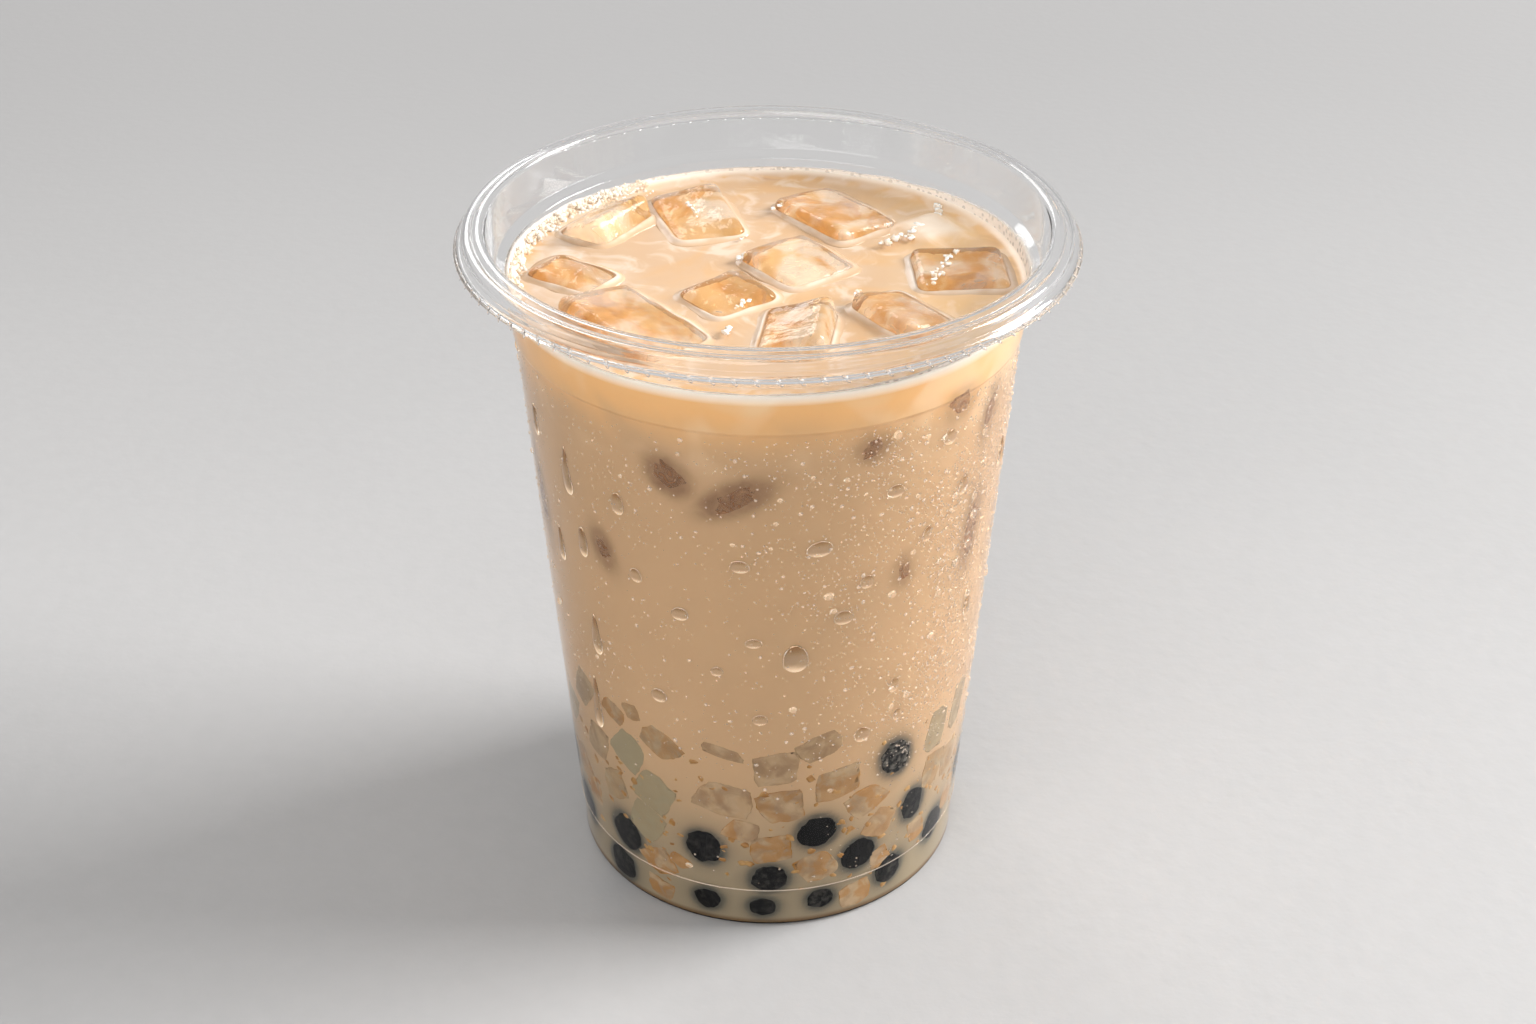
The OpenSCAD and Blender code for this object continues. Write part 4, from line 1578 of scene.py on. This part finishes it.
    def recipe(self):
        """Domes strewn over a sheet, small ones most, never on top of each other."""
        recipe = Recipe("strewn_water", {
            "Material": "Material", "Shape": "Object", "Density": "Float", "Radius": "Float",
            "Apart": "Float", "Seed": "Int"})
        wet = recipe.node("GeometryNodeInputNamedAttribute", None, {"Name": "wet"})
        strew = recipe.node("GeometryNodeDistributePointsOnFaces", {"distribute_method": "POISSON"}, {
            "Mesh": recipe.given("Geometry"), "Distance Min": recipe.given("Apart"),
            "Density Max": recipe.given("Density"), "Density Factor": wet.outputs[0],
            "Seed": recipe.given("Seed")})
        draw = recipe.node("FunctionNodeRandomValue", {"data_type": "FLOAT"}, {
            "Seed": recipe.given("Seed")})
        skewed = recipe.maths("POWER", draw.outputs[1], 2.6)
        size = recipe.maths("ADD", recipe.maths("MULTIPLY", skewed, 0.62), 0.38)
        scale = recipe.maths("MULTIPLY", size, recipe.given("Radius"))
        tall = recipe.node("FunctionNodeRandomValue", {"data_type": "FLOAT_VECTOR"}, {
            0: (0.8, 0.8, 0.75), 1: (1.15, 1.15, 1.1), "Seed": recipe.given("Seed")})
        whole = recipe.node("ShaderNodeVectorMath", {"operation": "SCALE"}, {
            0: tall.outputs[0], "Scale": scale})
        shape = recipe.node("GeometryNodeObjectInfo", None, {"Object": recipe.given("Shape")})
        spread = recipe.node("GeometryNodeInstanceOnPoints", None, {
            "Points": strew.outputs["Points"], "Instance": shape.outputs["Geometry"],
            "Rotation": strew.outputs["Rotation"], "Scale": whole.outputs[0]})
        recipe.finish(spread.outputs[0])
        return recipe

    def runs(self, wall, sizes):
        """Large drops and runs, each a thick-edged lens of water drawn down the wall."""
        rng = random.Random(sizes.seed + 4)
        rows = list(self.DROPS)
        for _ in range(self.STREWN_RUNS):
            rows.append((rng.uniform(84, 276), rng.uniform(30, 100), rng.uniform(0.7, 1.8),
                         rng.uniform(0.9, 2.2), rng.choice((1.2, 1.6, 2.4, 4.5)), rng.uniform(0.4, 0.7)))
        ring = 28
        count = len(self.RUN_LEVELS)
        points = []
        faces = []
        low = []
        for number, (bearing, z, half_w, below, above, thick) in enumerate(rows):
            start = len(points)
            spot = FRONT + math.radians(bearing)
            turns = np.arange(ring) * 2 * math.pi / ring
            stretch = np.where(np.sin(turns) > 0, above, below) / 1000
            narrow = np.where(np.sin(turns) > 0, 1 - 0.45 * np.sin(turns) * (above > 2 * below), 1.0)
            for level in self.RUN_LEVELS + (self.BASE_LEVEL,):
                up = np.sin(turns) * stretch * level
                wander = 0.0004 * np.array([ripple((0, 0, u), 260.0, number) for u in up])
                across = np.cos(turns) * half_w / 1000 * narrow * level + wander
                out = self.RUN_RISE * thick / 1000 * (1 - level ** 2) ** 0.68
                if level == self.BASE_LEVEL:
                    out = -self.BASE_SINK
                points += list(wall.place(wall.outer, spot, z / 1000, across, up, out))
                low += list(0.5 - 0.5 * np.sin(turns) * level)
            points += list(wall.place(
                wall.outer, spot, z / 1000, [0.0], [0.0], self.RUN_RISE * thick / 1000))
            low.append(0.5)
            faces += grid_faces(count, ring, start)
            tip = start + (count + 1) * ring
            for j in range(ring):
                k = (j + 1) % ring
                faces.append([start + (count - 1) * ring + j, start + (count - 1) * ring + k, tip])
                faces.append([start + count * ring + j, start + count * ring + k, start + k, start + j])
            faces.append([start + count * ring + j for j in range(ring)][::-1])
        runs = make_object("water_runs", points, faces, run_finish(), {"low": low})
        finish_piece(runs, "water")


class TEA_OT_stage(bpy.types.Operator):
    """Set the pale floor, the soft lights and the camera"""
    bl_idname = "milktea.stage"
    bl_label = "Stage"

    LENS = 49.70
    EYE = (0.0, -0.3136, 0.2620)
    DOWN = 0.5613                # how far the camera looks down, in radians
    HALF_FLOOR = 3.0
    FLOOR_Z = -0.0001
    # Place and width of each lamp
    LAMPS = {
        "key": ((1.95, 0.40, 1.05), 1.20),
        "front": ((-0.45, -0.95, 0.60), 1.0),
        "back": ((-0.32, 0.80, 0.58), 0.40),
    }

    def execute(self, context):
        stage = context.scene.tea_stage
        scene = context.scene
        corners = [(self.HALF_FLOOR * x, self.HALF_FLOOR * y, self.FLOOR_Z)
                   for x, y in ((-1, -1), (1, -1), (1, 1), (-1, 1))]
        floor = make_object("floor", corners, [(0, 1, 2, 3)], floor_finish(stage), recalc=False)
        for name, (place, size) in self.LAMPS.items():
            self.lamp(name, place, size, getattr(stage, name + "_power"))
        self.sky(scene, stage.sky)
        camera = bpy.data.cameras.new("camera")
        camera.lens = self.LENS
        camera.sensor_width = 36.0
        camera.clip_start = 0.01
        eye = link_object("camera", camera)
        eye.location = self.EYE
        eye.rotation_euler = (math.pi / 2 - self.DOWN, 0.0, 0.0)
        scene.camera = eye
        scene.view_settings.view_transform = "Standard"
        scene.cycles.max_bounces = 32
        scene.cycles.diffuse_bounces = 5
        scene.cycles.glossy_bounces = 20
        scene.cycles.transmission_bounces = 28
        scene.cycles.transparent_max_bounces = 12
        scene.cycles.sample_clamp_indirect = 8.0
        return {"FINISHED"}

    def lamp(self, name, place, size, power):
        data = bpy.data.lights.new(name, "AREA")
        data.shape = "SQUARE"
        data.size = size
        data.energy = power
        lamp = link_object(name, data)
        lamp.location = place
        aim = Vector((0, 0, 0.05)) - Vector(place)
        lamp.rotation_euler = aim.to_track_quat("-Z", "Y").to_euler()

    def sky(self, scene, strength):
        """Even light, a little darker towards the horizon so that clear edges read."""
        world = bpy.data.worlds.new("studio")
        world.use_nodes = True
        tree = world.node_tree
        tree.nodes.clear()
        coords, split, ramp, back, out = (tree.nodes.new("ShaderNode" + kind) for kind in (
            "TexCoord", "SeparateXYZ", "ValToRGB", "Background", "OutputWorld"))
        stops = ((0.0, (0.70, 0.70, 0.71, 1)), (0.55, (1.0, 1.0, 1.0, 1)))
        for element, (position, tint) in zip(ramp.color_ramp.elements, stops):
            element.position = position
            element.color = tint
        back.inputs["Strength"].default_value = strength
        tree.links.new(coords.outputs["Generated"], split.inputs[0])
        tree.links.new(split.outputs["Z"], ramp.inputs[0])
        tree.links.new(ramp.outputs[0], back.inputs[0])
        tree.links.new(back.outputs[0], out.inputs[0])
        scene.world = world


STEPS = [TEA_OT_stage, TEA_OT_cup, TEA_OT_drink, TEA_OT_ice, TEA_OT_pearls, TEA_OT_jelly, TEA_OT_froth,
         TEA_OT_water]


class TEA_PT_panel(bpy.types.Panel):
    """Steps and sizes of the iced milk tea"""
    bl_idname = "TEA_PT_panel"
    bl_label = "Iced Milk Tea"
    bl_space_type = "VIEW_3D"
    bl_region_type = "UI"
    bl_category = "Milk Tea"

    def draw(self, context):
        for step in STEPS:
            self.layout.operator(step.bl_idname)
        for name, group in GROUPS.items():
            box = self.layout.box()
            box.label(text=group.__doc__)
            for prop in group.__annotations__:
                box.prop(getattr(context.scene, name), prop)


def register():
    for group in GROUPS.values():
        bpy.utils.register_class(group)
    for step in STEPS:
        bpy.utils.register_class(step)
    bpy.utils.register_class(TEA_PT_panel)
    for name, group in GROUPS.items():
        setattr(bpy.types.Scene, name, bpy.props.PointerProperty(type=group))


def unregister():
    for name in GROUPS:
        delattr(bpy.types.Scene, name)
    bpy.utils.unregister_class(TEA_PT_panel)
    for step in reversed(STEPS):
        bpy.utils.unregister_class(step)
    for group in reversed(list(GROUPS.values())):
        bpy.utils.unregister_class(group)


def main():
    register()
    for step in STEPS:
        group, name = step.bl_idname.split(".")
        getattr(getattr(bpy.ops, group), name)()


if __name__ == "__main__":
    main()
